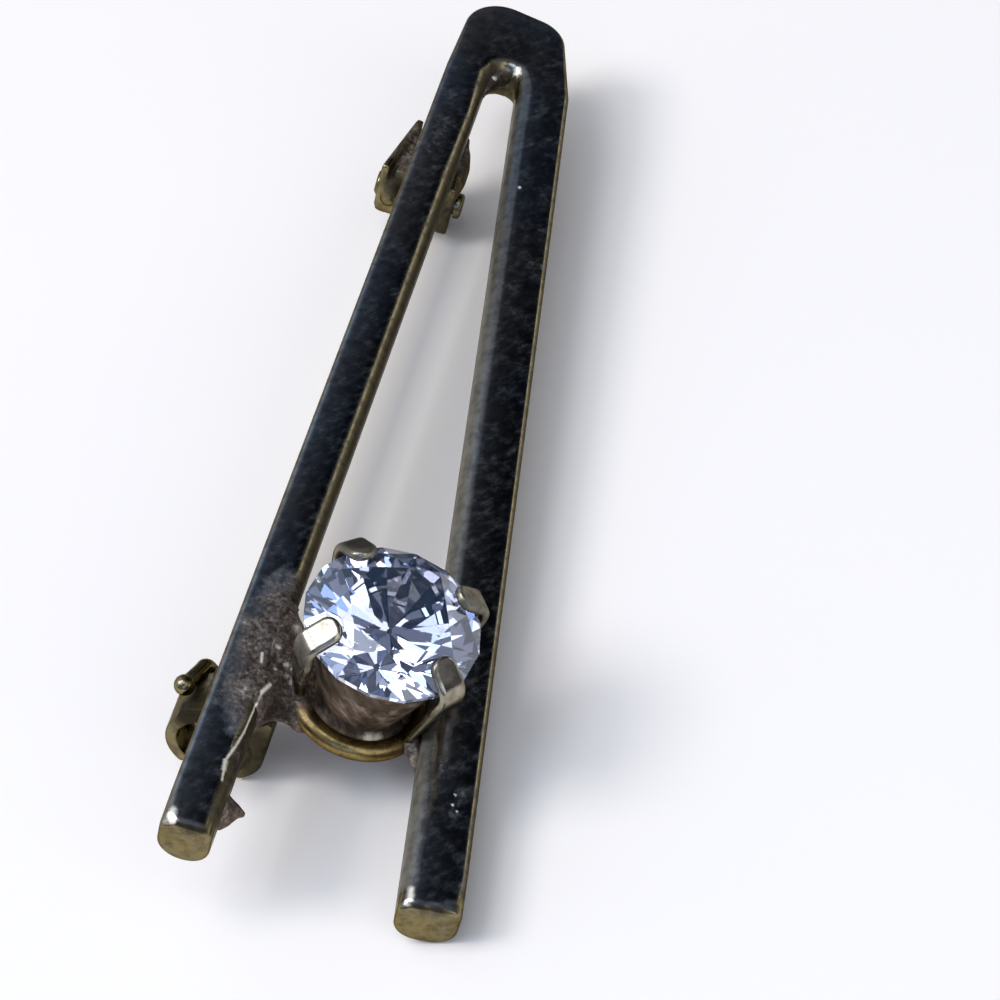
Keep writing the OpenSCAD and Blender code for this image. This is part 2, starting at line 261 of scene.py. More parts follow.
def lathe(profile: Sequence[Point], steps: int, loop: bool = False) -> Shape:
    """Turns a profile of [radius, height] about Z.

    Args:
        profile: The profile's points.
        steps: Points round the axis.
        loop: Whether the profile is a closed loop clear of the axis, as a ring's is.

    Returns:
        The closed shape.
    """
    turn = np.linspace(0, 2 * math.pi, steps, endpoint=False)
    rings = [np.column_stack([r * np.cos(turn), r * np.sin(turn), np.full(steps, h)]) for r, h in profile]
    return loft(rings, around=loop)


def rounded_box(width: float, height: float, radius: float, steps: int = 5, flat: int = 3) -> np.ndarray:
    """Outline of a box with rounded corners, with points along its flats too.

    Args:
        width: Its whole width.
        height: Its whole height.
        radius: Radius of its corners.
        steps: Steps in each corner.
        flat: Points between two corners.

    Returns:
        Points of [x, y] round its middle.
    """
    outline: list[np.ndarray] = []
    corners = [(1, 1, 0), (-1, 1, 90), (-1, -1, 180), (1, -1, 270)]
    for sx, sy, start in corners:
        middle = np.array([sx * (width / 2 - radius), sy * (height / 2 - radius)])
        turn = np.radians(start + np.linspace(0, 90, steps + 1))
        outline += list(middle + radius * np.column_stack([np.cos(turn), np.sin(turn)]))
    filled: list[np.ndarray] = []
    for i, point in enumerate(outline):
        filled.append(point)
        if i % (steps + 1) == steps:
            following = outline[(i + 1) % len(outline)]
            filled += [point + (following - point) * k / (flat + 1) for k in range(1, flat + 1)]
    return np.array(filled)


def rolled_wall(inner: float, outer: float, run: float, half_mouth: float, radius: float) -> Shape:
    """A rolled wall along +Y with a mouth that faces -Z, and rounded lips and edges.

    Args:
        inner: Inner radius.
        outer: Outer radius.
        run: Length along Y, from 0.
        half_mouth: Half of the mouth's angle in degrees.
        radius: Radius of the edges.

    Returns:
        The closed shape.
    """
    wall = outer - inner
    middle = (inner + outer) / 2
    lip = math.degrees(radius / middle)
    angles = list(np.linspace(half_mouth + lip, 360 - half_mouth - lip, 64))
    bends = [(half_mouth + lip * (1 - math.cos(math.radians(a))), radius * (1 - math.sin(math.radians(a))))
             for a in (0, 22.5, 45, 67.5)]
    stations = bends + [(a, 0.0) for a in angles] + [(360 - a, s) for a, s in reversed(bends)]
    rings = []
    for angle, shrink in stations:
        box = rounded_box(wall - 2 * shrink, run - 2 * shrink, max(radius - shrink, 0.02))
        out = middle + box[:, 0]
        a = math.radians(angle - 90)
        rings.append(np.column_stack([out * math.cos(a), box[:, 1] + run / 2, out * math.sin(a)]))
    return loft(rings)


def evaluated(mesh: Mesh, modifiers: Sequence[tuple[str, dict]]) -> Mesh:
    """Runs modifiers over a mesh.

    Args:
        mesh: The mesh, in millimetres.
        modifiers: Each modifier's type and settings, with a node tree's inputs by socket identifier.

    Returns:
        A new plain mesh, in millimetres.
    """
    shell = bpy.data.objects.new(mesh.name, mesh)
    bpy.context.scene.collection.objects.link(shell)
    for kind, settings in modifiers:
        modifier = shell.modifiers.new(kind.lower(), kind)
        for name, value in settings.items():
            if hasattr(modifier, name):
                setattr(modifier, name, value)
            else:
                modifier[name] = value
    graph = bpy.context.evaluated_depsgraph_get()
    out = bpy.data.meshes.new_from_object(shell.evaluated_get(graph), depsgraph=graph)
    shell.modifiers.clear()
    bpy.data.objects.remove(shell)
    return out


def melted(mesh: Mesh, voxel: float, passes: int) -> Mesh:
    """Fuses the overlapping parts of a mesh into one soft lump, as solder flows.

    Args:
        mesh: The overlapping parts, in millimetres.
        voxel: Size of the voxels in millimetres.
        passes: Passes of smoothing.

    Returns:
        The fused mesh, in millimetres.
    """
    return evaluated(mesh, [
        ("REMESH", {"mode": "VOXEL", "voxel_size": voxel, "use_smooth_shade": True}),
        ("SMOOTH", {"factor": 0.5, "iterations": passes}),
    ])


def piece(name: str, mesh: Mesh, finish: Material, body: Body = Body.ROOT,
          node: str = "brooch_frame", crease: float = 50) -> None:
    """Places a mesh in the model as a finished piece.

    Args:
        name: The piece's name.
        mesh: Its mesh, in the brooch plane's millimetres.
        finish: Its material.
        body: The body that it rides on.
        node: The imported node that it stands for.
        crease: Edges sharper than this angle in degrees stay sharp.
    """
    mesh.transform(PLACE)
    mesh.materials.clear()
    mesh.materials.append(finish)
    outwards(mesh)
    mesh.shade_smooth()
    mesh.set_sharp_from_angle(angle=math.radians(crease))
    obj = bpy.data.objects.new(name, mesh)
    mesh.name = name
    bpy.context.scene.collection.objects.link(obj)
    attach(obj, body.value)
    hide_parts(node)
    LOG.info("%s: %d faces on %s", name, len(mesh.polygons), body.value)


def outwards(mesh: Mesh) -> None:
    """Merges doubled points and turns every face outwards."""
    work = bmesh.new()
    work.from_mesh(mesh)
    bmesh.ops.remove_doubles(work, verts=work.verts, dist=1e-8)
    bmesh.ops.recalc_face_normals(work, faces=work.faces)
    work.to_mesh(mesh)
    work.free()
    mesh.update()


Value = float | Sequence[float] | Socket
Adder = Callable[..., Socket]
MATH = "ShaderNodeMath"
VECTOR_MATH = "ShaderNodeVectorMath"
# inputs in their order: value, from low, from high, to low (else 0), to high (else 1)
RANGE = "ShaderNodeMapRange"
# inputs 0, 6 and 7 are the share and the two colours, output 2 is the colour
MIX = "ShaderNodeMix"
NOISE = "ShaderNodeTexNoise"


def node(tree: bpy.types.NodeTree, kind: str, inputs: Mapping[str | int, Value] | Sequence[Value] = (),
         out: str | int = 0, **settings: object) -> Socket | None:
    """Adds a node with its settings and links.

    Args:
        tree: The tree that gets the node.
        kind: The node's type.
        inputs: A value or a socket for each input, in their order, or by name or number.
        out: Name or number of the output that is wanted.
        settings: The node's own properties.

    Returns:
        The output, or nothing for a node without outputs.
    """
    made = tree.nodes.new(kind)
    for name, value in settings.items():
        setattr(made, name, value)
    given = inputs if isinstance(inputs, Mapping) else dict(enumerate(inputs))
    for name, value in given.items():
        if isinstance(value, Socket):
            tree.links.new(value, made.inputs[name])
        else:
            made.inputs[name].default_value = value
    return made.outputs[out] if made.outputs else None


@dataclass
class Growth:
    """A Geometry Nodes tree with named inputs, run once over a mesh.

    Attributes:
        name: The tree's name.
        inputs: Each input's socket type and value, by its label.
    """

    name: str
    inputs: Mapping[str, tuple[str, object]]

    def __post_init__(self) -> None:
        """Starts the tree with its sockets."""
        self.tree = bpy.data.node_groups.new(self.name, "GeometryNodeTree")
        self.settings: dict[str, object] = {"node_group": self.tree}
        face = self.tree.interface
        face.new_socket("Geometry", in_out="INPUT", socket_type="NodeSocketGeometry")
        for label, (kind, value) in self.inputs.items():
            socket = face.new_socket(label, in_out="INPUT", socket_type=kind)
            self.settings[socket.identifier] = value
        face.new_socket("Geometry", in_out="OUTPUT", socket_type="NodeSocketGeometry")
        self.add = partial(node, self.tree)
        self.given = self.add("NodeGroupInput").node.outputs

    def run(self, parts: Sequence[Socket], pattern: Mesh) -> Mesh:
        """Ends the tree and runs it over a mesh.

        Args:
            parts: The geometries of the result, of which copies become real.
            pattern: The mesh, in millimetres.

        Returns:
            The plain result, in the material of the input named Material.
        """
        joined = self.add("GeometryNodeJoinGeometry")
        for part in parts:
            self.tree.links.new(part, joined.node.inputs["Geometry"])
        real = self.add("GeometryNodeRealizeInstances", {"Geometry": joined})
        dressed = self.add("GeometryNodeSetMaterial", {"Geometry": real, "Material": self.given["Material"]})
        self.add("NodeGroupOutput", {"Geometry": dressed})
        return evaluated(pattern, [("NODES", self.settings)])


def sown(name: str, ground: Mesh, finish: Material, per_mm2: float,
         sizes: Pair, seed: int) -> Mesh:
    """Sows crumbs over a mesh with Geometry Nodes, with a fixed seed.

    Args:
        name: The tree's name.
        ground: The mesh, in millimetres.
        finish: The material of the whole.
        per_mm2: Crumbs to the square millimetre.
        sizes: The smallest and the largest radius.
        seed: The seed.

    Returns:
        The mesh with its crumbs.
    """
    growth = Growth(name, {
        "Crumbs": ("NodeSocketFloat", per_mm2),
        "Smallest": ("NodeSocketFloat", sizes[0]),
        "Largest": ("NodeSocketFloat", sizes[1]),
        "Seed": ("NodeSocketInt", seed),
        "Material": ("NodeSocketMaterial", finish),
    })
    add, given = growth.add, growth.given
    points = add("GeometryNodeDistributePointsOnFaces", {
        "Mesh": given["Geometry"], "Density": given["Crumbs"], "Seed": given["Seed"],
    }, "Points")
    size = add("FunctionNodeRandomValue", {
        2: given["Smallest"], 3: given["Largest"], 8: given["Seed"],
    }, 1, data_type="FLOAT")
    crumb = add("GeometryNodeMeshIcoSphere", {"Radius": 1.0, "Subdivisions": 2}, "Mesh")
    copies = add("GeometryNodeInstanceOnPoints", {"Points": points, "Instance": crumb, "Scale": size})
    return growth.run([given["Geometry"], copies], ground)


@dataclass(frozen=True)
class TarnishOrShadeSpot:
    """A soft spot in the brooch plane: tarnish in the first table below, painted shade in the second."""

    middle: Triple
    reach: Triple
    strength: float


STAINS = (
    TarnishOrShadeSpot((0.45, 7.6, -0.2), (1.45, 4.6, 1.9), 1.0),
    TarnishOrShadeSpot((1.7, 7.6, -0.8), (1.3, 2.9, 1.6), 1.0),
    TarnishOrShadeSpot((0.75, 3.6, -0.8), (0.55, 2.4, 1.3), 0.7),
    TarnishOrShadeSpot((1.1, 1.9, -1.2), (0.5, 0.9, 0.9), 0.8),
    TarnishOrShadeSpot((3.92, 7.64, 1.0), (2.9, 2.9, 1.9), 0.5),
    TarnishOrShadeSpot((1.2, 38.2, -0.6), (0.75, 0.75, 0.8), 0.85),
    TarnishOrShadeSpot((-0.38, 34.6, -2.1), (2.3, 2.5, 1.1), 0.9),
    TarnishOrShadeSpot((-0.3, 33.3, 0.0), (1.0, 1.0, 0.5), 0.25),
    TarnishOrShadeSpot((8.0, 3.9, 0.0), (0.35, 1.0, 0.4), 0.3),
    TarnishOrShadeSpot((6.5, 5.9, -1.1), (0.9, 1.3, 1.0), 0.6),
    TarnishOrShadeSpot((-0.38, 6.4, -2.2), (2.2, 1.9, 1.1), 0.5),
)


# Painted shade: spots drawn dark, with dimmer reflections, in the recesses of the catch and hinge, the crotch
# and the web's far side, under the girdle, along the ends' top edges, and on claw pads as a painted dark
# reflection
PAINTED_SHADE_SPOTS = (
    TarnishOrShadeSpot((1.2, 5.9, -3.3), (1.4, 1.6, 2.6), 0.9),
    TarnishOrShadeSpot((-1.4, 5.8, -2.3), (1.5, 1.4, 1.1), 1.0),
    TarnishOrShadeSpot((1.1, 34.0, -3.2), (0.9, 2.6, 1.9), 0.75),
    TarnishOrShadeSpot((0.85, 32.7, -3.7), (1.0, 1.1, 1.7), 0.75),
    TarnishOrShadeSpot((-1.35, 33.1, -2.7), (0.75, 0.9, 1.0), 0.85),
    TarnishOrShadeSpot((1.45, 5.75, -0.75), (0.85, 0.72, 0.85), 0.9),
    TarnishOrShadeSpot((0.1, 0.06, -0.07), (1.5, 0.17, 0.16), 1.0),
    TarnishOrShadeSpot((7.8, -0.22, -0.07), (0.6, 0.19, 0.16), 1.0),
    TarnishOrShadeSpot((8.4, -0.12, -0.07), (0.6, 0.22, 0.16), 1.0),
    TarnishOrShadeSpot((8.85, 0.12, -0.07), (0.4, 0.28, 0.16), 1.0),
    TarnishOrShadeSpot((1.5, 38.0, -1.5), (1.0, 1.0, 1.1), 0.65),
    TarnishOrShadeSpot((2.45, 9.85, 4.1), (1.1, 1.0, 0.9), 1.0),
    TarnishOrShadeSpot((6.65, 9.1, 4.0), (0.95, 0.95, 0.95), 0.55),
    TarnishOrShadeSpot((6.35, 5.9, 3.95), (0.5, 0.55, 0.5), 0.6),
    TarnishOrShadeSpot((1.75, 5.3, 3.3), (0.75, 0.75, 0.75), 0.8),
    TarnishOrShadeSpot((0.9, 4.2, -0.9), (0.6, 1.6, 0.9), 0.85),
    TarnishOrShadeSpot((3.92, 7.64, 2.1), (4.6, 4.6, 1.5), 0.3),
    TarnishOrShadeSpot((1.35, 38.15, -0.7), (0.95, 0.85, 0.6), 0.75),
)


def share_of(spots: Sequence[TarnishOrShadeSpot], points: np.ndarray) -> np.ndarray:
    """How strongly the spots cover each point, from 0 to 1."""
    share = np.zeros(len(points))
    for spot in spots:
        away = np.linalg.norm((points - spot.middle) / spot.reach, axis=1)
        share = np.maximum(share, spot.strength * (1 - smooth_step(away, 0.35, 1.05)))
    return share


@dataclass(frozen=True)
class LegWearShadeAndLight:
    """Where the legs' sides get painted shade, the right leg's inner side painted light, and their
    fronts bare grey plate, which on left-facing shoulders reaches further as a painted reflection.

    A pair is the two values between which a look rises or falls: of a place in millimetres, or of
    a part of the normal.
    """

    clear_of_end: Pair = (0.15, 0.7)
    side_top: Pair = (0.0, 0.16)
    side_foot: Pair = (1.3, 1.9)
    faces_right: Pair = (0.0, 0.5)
    roll_starts: Pair = (0.1, 0.35)
    roll_ends: Pair = (0.7, 0.95)
    roll_shade: Pair = (0.35, 0.5)
    left_front: Pair = (0.4, 0.9)
    right_front: Pair = (0.95, 0.992)
    upper_part: Pair = (19.0, 30.0)
    side_light_below: Pair = (0.25, 0.7)
    side_light_above: Pair = (0.6, 1.0)
    side_light_stops: Pair = (36.4, 37.6)
    side_light_deep: float = 1.6
    right_leg_x: float = 1.5

    def shares(self, points: np.ndarray, normals: np.ndarray) -> tuple[np.ndarray, ...]:
        """Works out each point's painted shade, its bare plate with painted reflection, and its painted side
        light.

        Args:
            points: The points, in the brooch plane.
            normals: Their normals.

        Returns:
            The three shares, from 0 to 1.
        """
        depth, left, front = -points[:, 2], -normals[:, 0], normals[:, 2]
        along = smooth_step(points[:, 1], *self.clear_of_end)
        upper = smooth_step(points[:, 1], *self.upper_part)
        on_right = points[:, 0] > self.right_leg_x
        # painted shade on the legs' right-facing sides
        side = smooth_step(depth, *self.side_top) * (1 - smooth_step(depth, *self.side_foot)) * along
        side *= smooth_step(normals[:, 0], *self.faces_right)
        # painted shade on the right leg's left-facing roll, stronger on its upper part
        roll = smooth_step(left, *self.roll_starts) * (1 - smooth_step(left, *self.roll_ends))
        least, more = self.roll_shade
        painted_shade = np.maximum(side, roll * (least + more * upper) * on_right * along)
        # bare grey plate on the fronts; on left-facing shoulders it reaches further as a painted reflection
        # of the cool light there
        bare_and_reflection = np.where(left > 0, smooth_step(front, *self.left_front), smooth_step(front, *self.right_front))
        # painted light: a pale band on the right leg's left-facing side, fading out near the crotch
        painted_side_light = smooth_step(left, *self.side_light_below) * (1 - upper) + smooth_step(left, *self.side_light_above) * upper
        painted_side_light *= on_right * (depth < self.side_light_deep) * along
        return painted_shade, bare_and_reflection, painted_side_light * (1 - smooth_step(points[:, 1], *self.side_light_stops))


def mark_tarnish_shade_and_light(mesh: Mesh, sides: float = 0.0) -> None:
    """Writes each point's tarnish, painted shade, bare plate with painted reflection, and painted side light.

    Args:
        mesh: The mesh, in the brooch plane's millimetres.
        sides: How much painted shade the legs' sides get, from 0 to 1; above 0 it also lays the painted
            reflection and side light.
    """
    outwards(mesh)
    points, normals = np.empty((2, len(mesh.vertices) * 3))
    mesh.vertices.foreach_get("co", points)
    mesh.vertices.foreach_get("normal", normals)
    points, normals = points.reshape(-1, 3), normals.reshape(-1, 3)
    side, bare_and_reflection, painted_side_light = LegWearShadeAndLight().shares(points, normals)
    shares = {
        "tarnish": share_of(STAINS, points),
        "painted_shade": np.maximum(share_of(PAINTED_SHADE_SPOTS, points), sides * side),
        "bare_and_reflection": bare_and_reflection * (sides > 0),
        "painted_side_light": painted_side_light * (sides > 0),
    }
    for name, share in shares.items():
        mesh.attributes.new(name, "FLOAT", "POINT").data.foreach_set("value", share)


@dataclass(frozen=True)
class GlintSpot:
    """A small pale, less metallic spot in the brooch plane: a painted glint, or a painted highlight drawn out
    to a line.

    Attributes:
        middle: Where it starts.
        radius: Half of its width.
        end: Where it ends, for one drawn out to a line.
    """

    middle: Triple
    radius: float
    end: Triple | None = None


# Painted glints: pale spots at the worn end corners, the crotch, the cup's foot, along the web's edge and its
# beads, and on the right leg's front
GLINT_SPOTS = (
    GlintSpot((3.5, 32.14, 0.0), 0.07),
    GlintSpot((7.9, 4.2, 0.0), 0.06),
    GlintSpot((7.93, 3.8, 0.0), 0.05),
    GlintSpot((8.12, 3.62, 0.0), 0.05),
    GlintSpot((1.21, 8.96, -0.25), 0.2),
    GlintSpot((0.8, 7.84, -0.1), 0.1),
    GlintSpot((0.36, 7.34, 0.0), 0.06, (0.44, 7.0, 0.0)),
    GlintSpot((0.94, 7.05, -0.2), 0.07),
    GlintSpot((0.95, 6.35, -0.2), 0.08, (0.79, 5.92, -0.12)),
    GlintSpot((0.79, 5.92, -0.12), 0.05, (0.74, 5.18, -0.17)),
    GlintSpot((0.74, 5.18, -0.17), 0.045, (0.69, 4.2, -0.14)),
    GlintSpot((0.69, 4.2, -0.14), 0.055, (0.58, 3.48, -0.07)),
    GlintSpot((0.58, 3.48, -0.07), 0.06, (0.42, 2.77, -0.01)),
    GlintSpot((0.44, 2.85, -0.01), 0.1, (0.5, 2.5, -0.03)),
    GlintSpot((0.5, 2.5, -0.03), 0.05, (0.56, 2.1, -0.04)),
    GlintSpot((-0.58, 0.48, -0.03), 0.14, (-0.5, 0.16, -0.12)),
    GlintSpot((7.44, 0.3, -0.08), 0.13, (7.5, 0.02, -0.08)),
    GlintSpot((1.88, 38.61, -0.21), 0.18),
    GlintSpot((1.11, 38.16, -0.46), 0.1),
    GlintSpot((4.6, 6.13, -1.13), 0.27),
    GlintSpot((4.85, 6.22, -1.16), 0.22),
    GlintSpot((1.25, 7.42, -0.36), 0.11),
    GlintSpot((1.52, 7.36, -0.42), 0.14),
    GlintSpot((1.35, 7.04, -0.44), 0.1),
    GlintSpot((1.62, 6.95, -0.5), 0.13),
)


def in_mm(add: Adder, turn: Point = (0, 0, 0), stretch: Point = (1, 1, 1)) -> Socket:
    """Object coordinates in millimetres, turned and then stretched along their own axes."""
    place = add("ShaderNodeTexCoord", out="Object")
    turned = add("ShaderNodeMapping", {"Vector": place, "Rotation": [math.radians(a) for a in turn]})
    return add("ShaderNodeMapping", {"Vector": turned, "Scale": [s / MM for s in stretch]})


def glint_share(add: Adder, blur: Socket) -> Socket:
    """How much of a painted glint a point lies in.

    Args:
        add: Adds a node to the material's tree.
        blur: Noise that makes the glints' outlines uneven.

    Returns:
        A socket from 0 to 1.
    """
    place = in_mm(add)
    share = None
    for glint in GLINT_SPOTS:
        middle = PLACE @ Vector(glint.middle) / MM
        nearest: Value = middle
        if glint.end:
            run = PLACE @ Vector(glint.end) / MM - middle
            past = add(VECTOR_MATH, (place, middle), operation="SUBTRACT")
            along = add(VECTOR_MATH, (past, run / run.length_squared), "Value", operation="DOT_PRODUCT")
            part = add(VECTOR_MATH, {0: run, "Scale": add(RANGE, (along, 0, 1))}, operation="SCALE")
            nearest = add(VECTOR_MATH, (part, middle))
        away = add(VECTOR_MATH, (place, nearest), "Value", operation="DISTANCE")
        ragged = (0.25 if glint.end else 0.7) * glint.radius
        uneven = add(MATH, (away, add(RANGE, (blur, 0.3, 0.7, -ragged, ragged))))
        inside = add(RANGE, (uneven, 0.3 * glint.radius, 1.3 * glint.radius, 1, 0))
        share = inside if share is None else add(MATH, (share, inside), operation="MAXIMUM")
    return share


@dataclass(frozen=True)
class Finish:
    """A material made of nodes."""

    name: str

    def surface(self, add: Adder) -> Socket:
        """Adds the nodes of the surface and returns its shader."""
        raise NotImplementedError

    def material(self) -> Material:
        """Returns the finish as a material."""
        material = bpy.data.materials.new(self.name)
        material.use_nodes = True
        material.node_tree.nodes.clear()
        add = partial(node, material.node_tree)
        add("ShaderNodeOutputMaterial", {"Surface": self.surface(add)})
        return material


@dataclass(frozen=True)
class PlatedBrass(Finish):
    """Gold-tone plate over brass, polished and then worn: mirror-like, with hairline scratches,
    cloudy patches where the plate has dulled, and brown tarnish where the solder was heated."""

    plate: str = "#8a7e5a"
    dulled: str = "#857c66"
    # bare grey plate, also a painted reflection on left-facing shoulders
    bare_and_reflection: str = "#858d92"
    rubbed: str = "#8d8c86"
    # painted light on the right leg's left-facing side
    painted_side_light: str = "#7c786c"
    # dark brown of the painted shade and of the random dark mottle
    mottle_and_shade: str = "#17110c"
    tarnish: tuple[str, str, str, str] = ("#30261f", "#62554a", "#8c7f72", "#c4b9ab")
    tarnish_at: Quad = (0.38, 0.48, 0.56, 0.67)
    # colour of the painted glints
    pale: str = "#efe6cd"
    rim: str = "#a39d92"
    smooth: float = 0.12
    cloudy: float = 0.34
    # the scratches are drawn coarser than real hairlines, so that they show in the render
    stroke_mm: float = 0.2
    stroke_deg: float = 42
    stroke_stretch: float = 0.32
    cloud_mm: float = 0.7
    speck_mm: float = 0.15
    drift_mm: float = 5.0
    wave_mm: float = 1.6
    wave_deep_mm: float = 0.01
    grain_deep_mm: float = 0.035
    speck_stretch: Triple = (1, 1, 1)
    hair_deep_mm: float = 0.0014
    always_stained: float = 0.0

    def surface(self, add: Adder) -> Socket:
        """Adds the nodes of the surface and returns its shader."""
        plain = in_mm(add)
        slanted = in_mm(add, turn=(0, 0, self.stroke_deg), stretch=(1, self.stroke_stretch, 1))
        patterns = (
            # coordinates, grain in mm, detail, roughness
            (plain, self.cloud_mm, 4, 0.62),
            (slanted, self.stroke_mm, 3, 0.62),
            (slanted, self.stroke_mm / 3, 2, 0.6),
            (plain, self.wave_mm, 1, 0.4),
            (in_mm(add, stretch=self.speck_stretch), self.speck_mm, 4, 0.68),
            (plain, self.cloud_mm * 0.55, 3, 0.6),
            (plain, self.drift_mm, 1, 0.3),
        )
        clouds, strokes, hairs, waves, specks, shades, drift = (
            add(NOISE, {"Vector": place, "Scale": 1 / grain, "Detail": detail, "Roughness": rough})
            for place, grain, detail, rough in patterns)
        tarnish, painted_shade, bare_and_reflection, painted_side_light = (
            add("ShaderNodeAttribute", out="Fac", attribute_name=name)
            for name in ("tarnish", "painted_shade", "bare_and_reflection", "painted_side_light"))
        # the ranges below are those in which each pattern lies, about 0.3 to 0.7 for one noise
        worn = add(RANGE, (add(MATH, (clouds, strokes)), 0.88, 1.26))
        stained = add(MATH, (tarnish, self.always_stained), operation="MAXIMUM")
        brown = add(RANGE, (add(MATH, (stained, add(RANGE, (clouds, 0.3, 0.7, -0.3, 0.3)))), 0.2, 0.85))
        # painted light on the right leg's left-facing side, broken up by the cloud pattern
        painted_side_light = add(MATH, (painted_side_light, add(RANGE, (clouds, 0.35, 0.62, 0.6, 1.0))), operation="MULTIPLY")
        glinted = glint_share(add, specks)
        colour = self.colour(add, (worn, drift, bare_and_reflection, painted_side_light, brown), self.crust(add, specks, clouds))
        lit = add(RANGE, (shades, 0.36, 0.58, 0.62, 1.0))
        # painted shade and random dark mottle draw the colour towards a dark brown
        own_colour_share = add(MATH, (lit, add(RANGE, (painted_shade, 0, 1, 1, 0.12))), operation="MULTIPLY")
        colour = add(MIX, {0: own_colour_share, 6: linear(self.mottle_and_shade), 7: colour}, 2, data_type="RGBA")
        # painted glints: the pale colour laid on the glint spots
        colour = add(MIX, {0: glinted, 6: colour, 7: linear(self.pale)}, 2, data_type="RGBA")
        rough = add(RANGE, (worn, 0, 1, self.smooth, self.cloudy))
        for share, rougher in ((brown, 0.3), (painted_shade, 0.24), (painted_side_light, 0.3)):
            rough = add(MATH, (rough, add(MATH, (share, rougher), operation="MULTIPLY")))
        metallic = add(MATH, (1.0, add(MATH, (brown, 0.45), operation="MULTIPLY")), operation="SUBTRACT")
        for share, left in ((glinted, 0.3), (painted_side_light, 0.35), (painted_shade, 0.35)):
            metallic = add(MATH, (metallic, add(RANGE, (share, 0, 1, 1, left))), operation="MULTIPLY")
        crumbs = add(MATH, (specks, brown), operation="MULTIPLY")
        height = add(MATH, (waves, self.wave_deep_mm), operation="MULTIPLY")
        for relief, deep in ((crumbs, self.grain_deep_mm), (hairs, self.hair_deep_mm)):
            height = add(MATH, (height, add(MATH, (relief, deep), operation="MULTIPLY")))
        return add("ShaderNodeBsdfPrincipled", {
            "Base Color": colour, "Metallic": metallic, "Roughness": rough,
            "Normal": add("ShaderNodeBump", {"Height": height, "Strength": 1.0, "Distance": MM}),
            "Specular Tint": linear(self.rim),
            # painted shade also dims the reflections
            "Specular IOR Level": add(RANGE, (painted_shade, 0, 0.7, 0.5, 0.04)),
        })

    def crust(self, add: Adder, specks: Socket,
              clouds: Socket) -> Socket:
        """The tarnish's mottled colour, from two patterns."""
        fine, broad = (add(MATH, (pattern, share), operation="MULTIPLY")
                       for pattern, share in ((specks, 0.62), (clouds, 0.38)))
        crust = add("ShaderNodeValToRGB", (add(MATH, (fine, broad)),))
        stops = crust.node.color_ramp.elements
        while len(stops) < len(self.tarnish):
            stops.new(0.5)
        for stop, place, code in zip(stops, self.tarnish_at, self.tarnish):
            stop.position = place
            stop.color = linear(code)
        return crust

    def colour(self, add: Adder, shares: Sequence[Socket],
               crust: Socket) -> Socket:
        """The metal's colour under its painted shade and dark mottle: the plate, and over it what wears and
        stains it, with the painted reflection and painted side light.

        Args:
            add: Adds a node to the material's tree.
            shares: Sockets that say how worn, drifted, bare with painted reflection, painted side-lit and
                brown a point is.
            crust: The tarnish's colour.

        Returns:
            The colour.
        """
        worn, drift, bare_and_reflection, painted_side_light, brown = shares
        ground = add(MIX, {
            0: add(RANGE, (drift, 0.4, 0.6)), 6: linear(self.bare_and_reflection), 7: linear(self.rubbed),
        }, 2, data_type="RGBA")
        colour: Value = linear(self.plate)
        for share, over in ((worn, linear(self.dulled)), (bare_and_reflection, ground), (painted_side_light, linear(self.painted_side_light)),
                            (add(MATH, (brown, 0.92), operation="MULTIPLY"), crust)):
            colour = add(MIX, {0: share, 6: colour, 7: over}, 2, data_type="RGBA")
        return colour


@dataclass(frozen=True)
class DrawnWire(Finish):
    """Nickel-silver pin wire, drawn: satin, with faint lines along it."""

    name: str = "drawn_nickel_silver"
    tint: str = "#a8a190"
    dulled: str = "#7f7866"
    line_mm: float = 0.04
    line_stretch: float = 0.03
    line_deep_mm: float = 0.003
    cloud_mm: float = 0.8

    def surface(self, add: Adder) -> Socket:
        """Adds the nodes of the surface and returns its shader."""
        lines, clouds = (
            add(NOISE, {"Vector": place, "Scale": 1 / grain, "Detail": detail, "Roughness": rough})
            for place, grain, detail, rough in (
                (in_mm(add, stretch=(1, self.line_stretch, 1)), self.line_mm, 2, 0.5),
                (in_mm(add), self.cloud_mm, 3, 0.6),
            ))
        height = add(MATH, (lines, self.line_deep_mm), operation="MULTIPLY")
        worn = add(RANGE, (clouds, 0.35, 0.7))
        return add("ShaderNodeBsdfPrincipled", {
            "Base Color": add(MIX, {0: worn, 6: linear(self.tint), 7: linear(self.dulled)}, 2,
                              data_type="RGBA"),
            "Metallic": 1.0,
            "Roughness": add(RANGE, (clouds, 0.3, 0.7, 0.22, 0.38)),
            "Normal": add("ShaderNodeBump", {"Height": height, "Strength": 1.0, "Distance": MM}),
        })


@dataclass(frozen=True)
class CutZirconia(Finish):
    """Cubic zirconia, cut and polished: clear and bright, without a colour of its own, under a faint
    bluish matte veil of painted glare that lifts its dark facets.
    """

    name: str = "cut_zirconia"
    tint: str = "#fbfbff"
    index: float = 2.16
    # painted glare: a bluish matte veil mixed over the glass that lifts the dark facets
    glare_veil: str = "#84a0c0"
    glare_veil_share: float = 0.07

    def surface(self, add: Adder) -> Socket:
        """Adds the nodes of the surface and returns its shader."""
        glass = add("ShaderNodeBsdfGlass", {"Color": linear(self.tint), "Roughness": 0.0, "IOR": self.index})
        glare_veil = add("ShaderNodeBsdfDiffuse", {"Color": linear(self.glare_veil)})
        return add("ShaderNodeMixShader", (self.glare_veil_share, glass, glare_veil))


@dataclass(frozen=True)
class PaintedFloor(Finish):
    """Matt pale board for the floor."""

    name: str = "pale_board"
    tint: str = "#fff6e8"

    def surface(self, add: Adder) -> Socket:
        """Adds the nodes of the surface and returns its shader."""
        return add("ShaderNodeBsdfPrincipled", {
            "Base Color": linear(self.tint), "Roughness": 0.85, "Specular IOR Level": 0.1,
        })


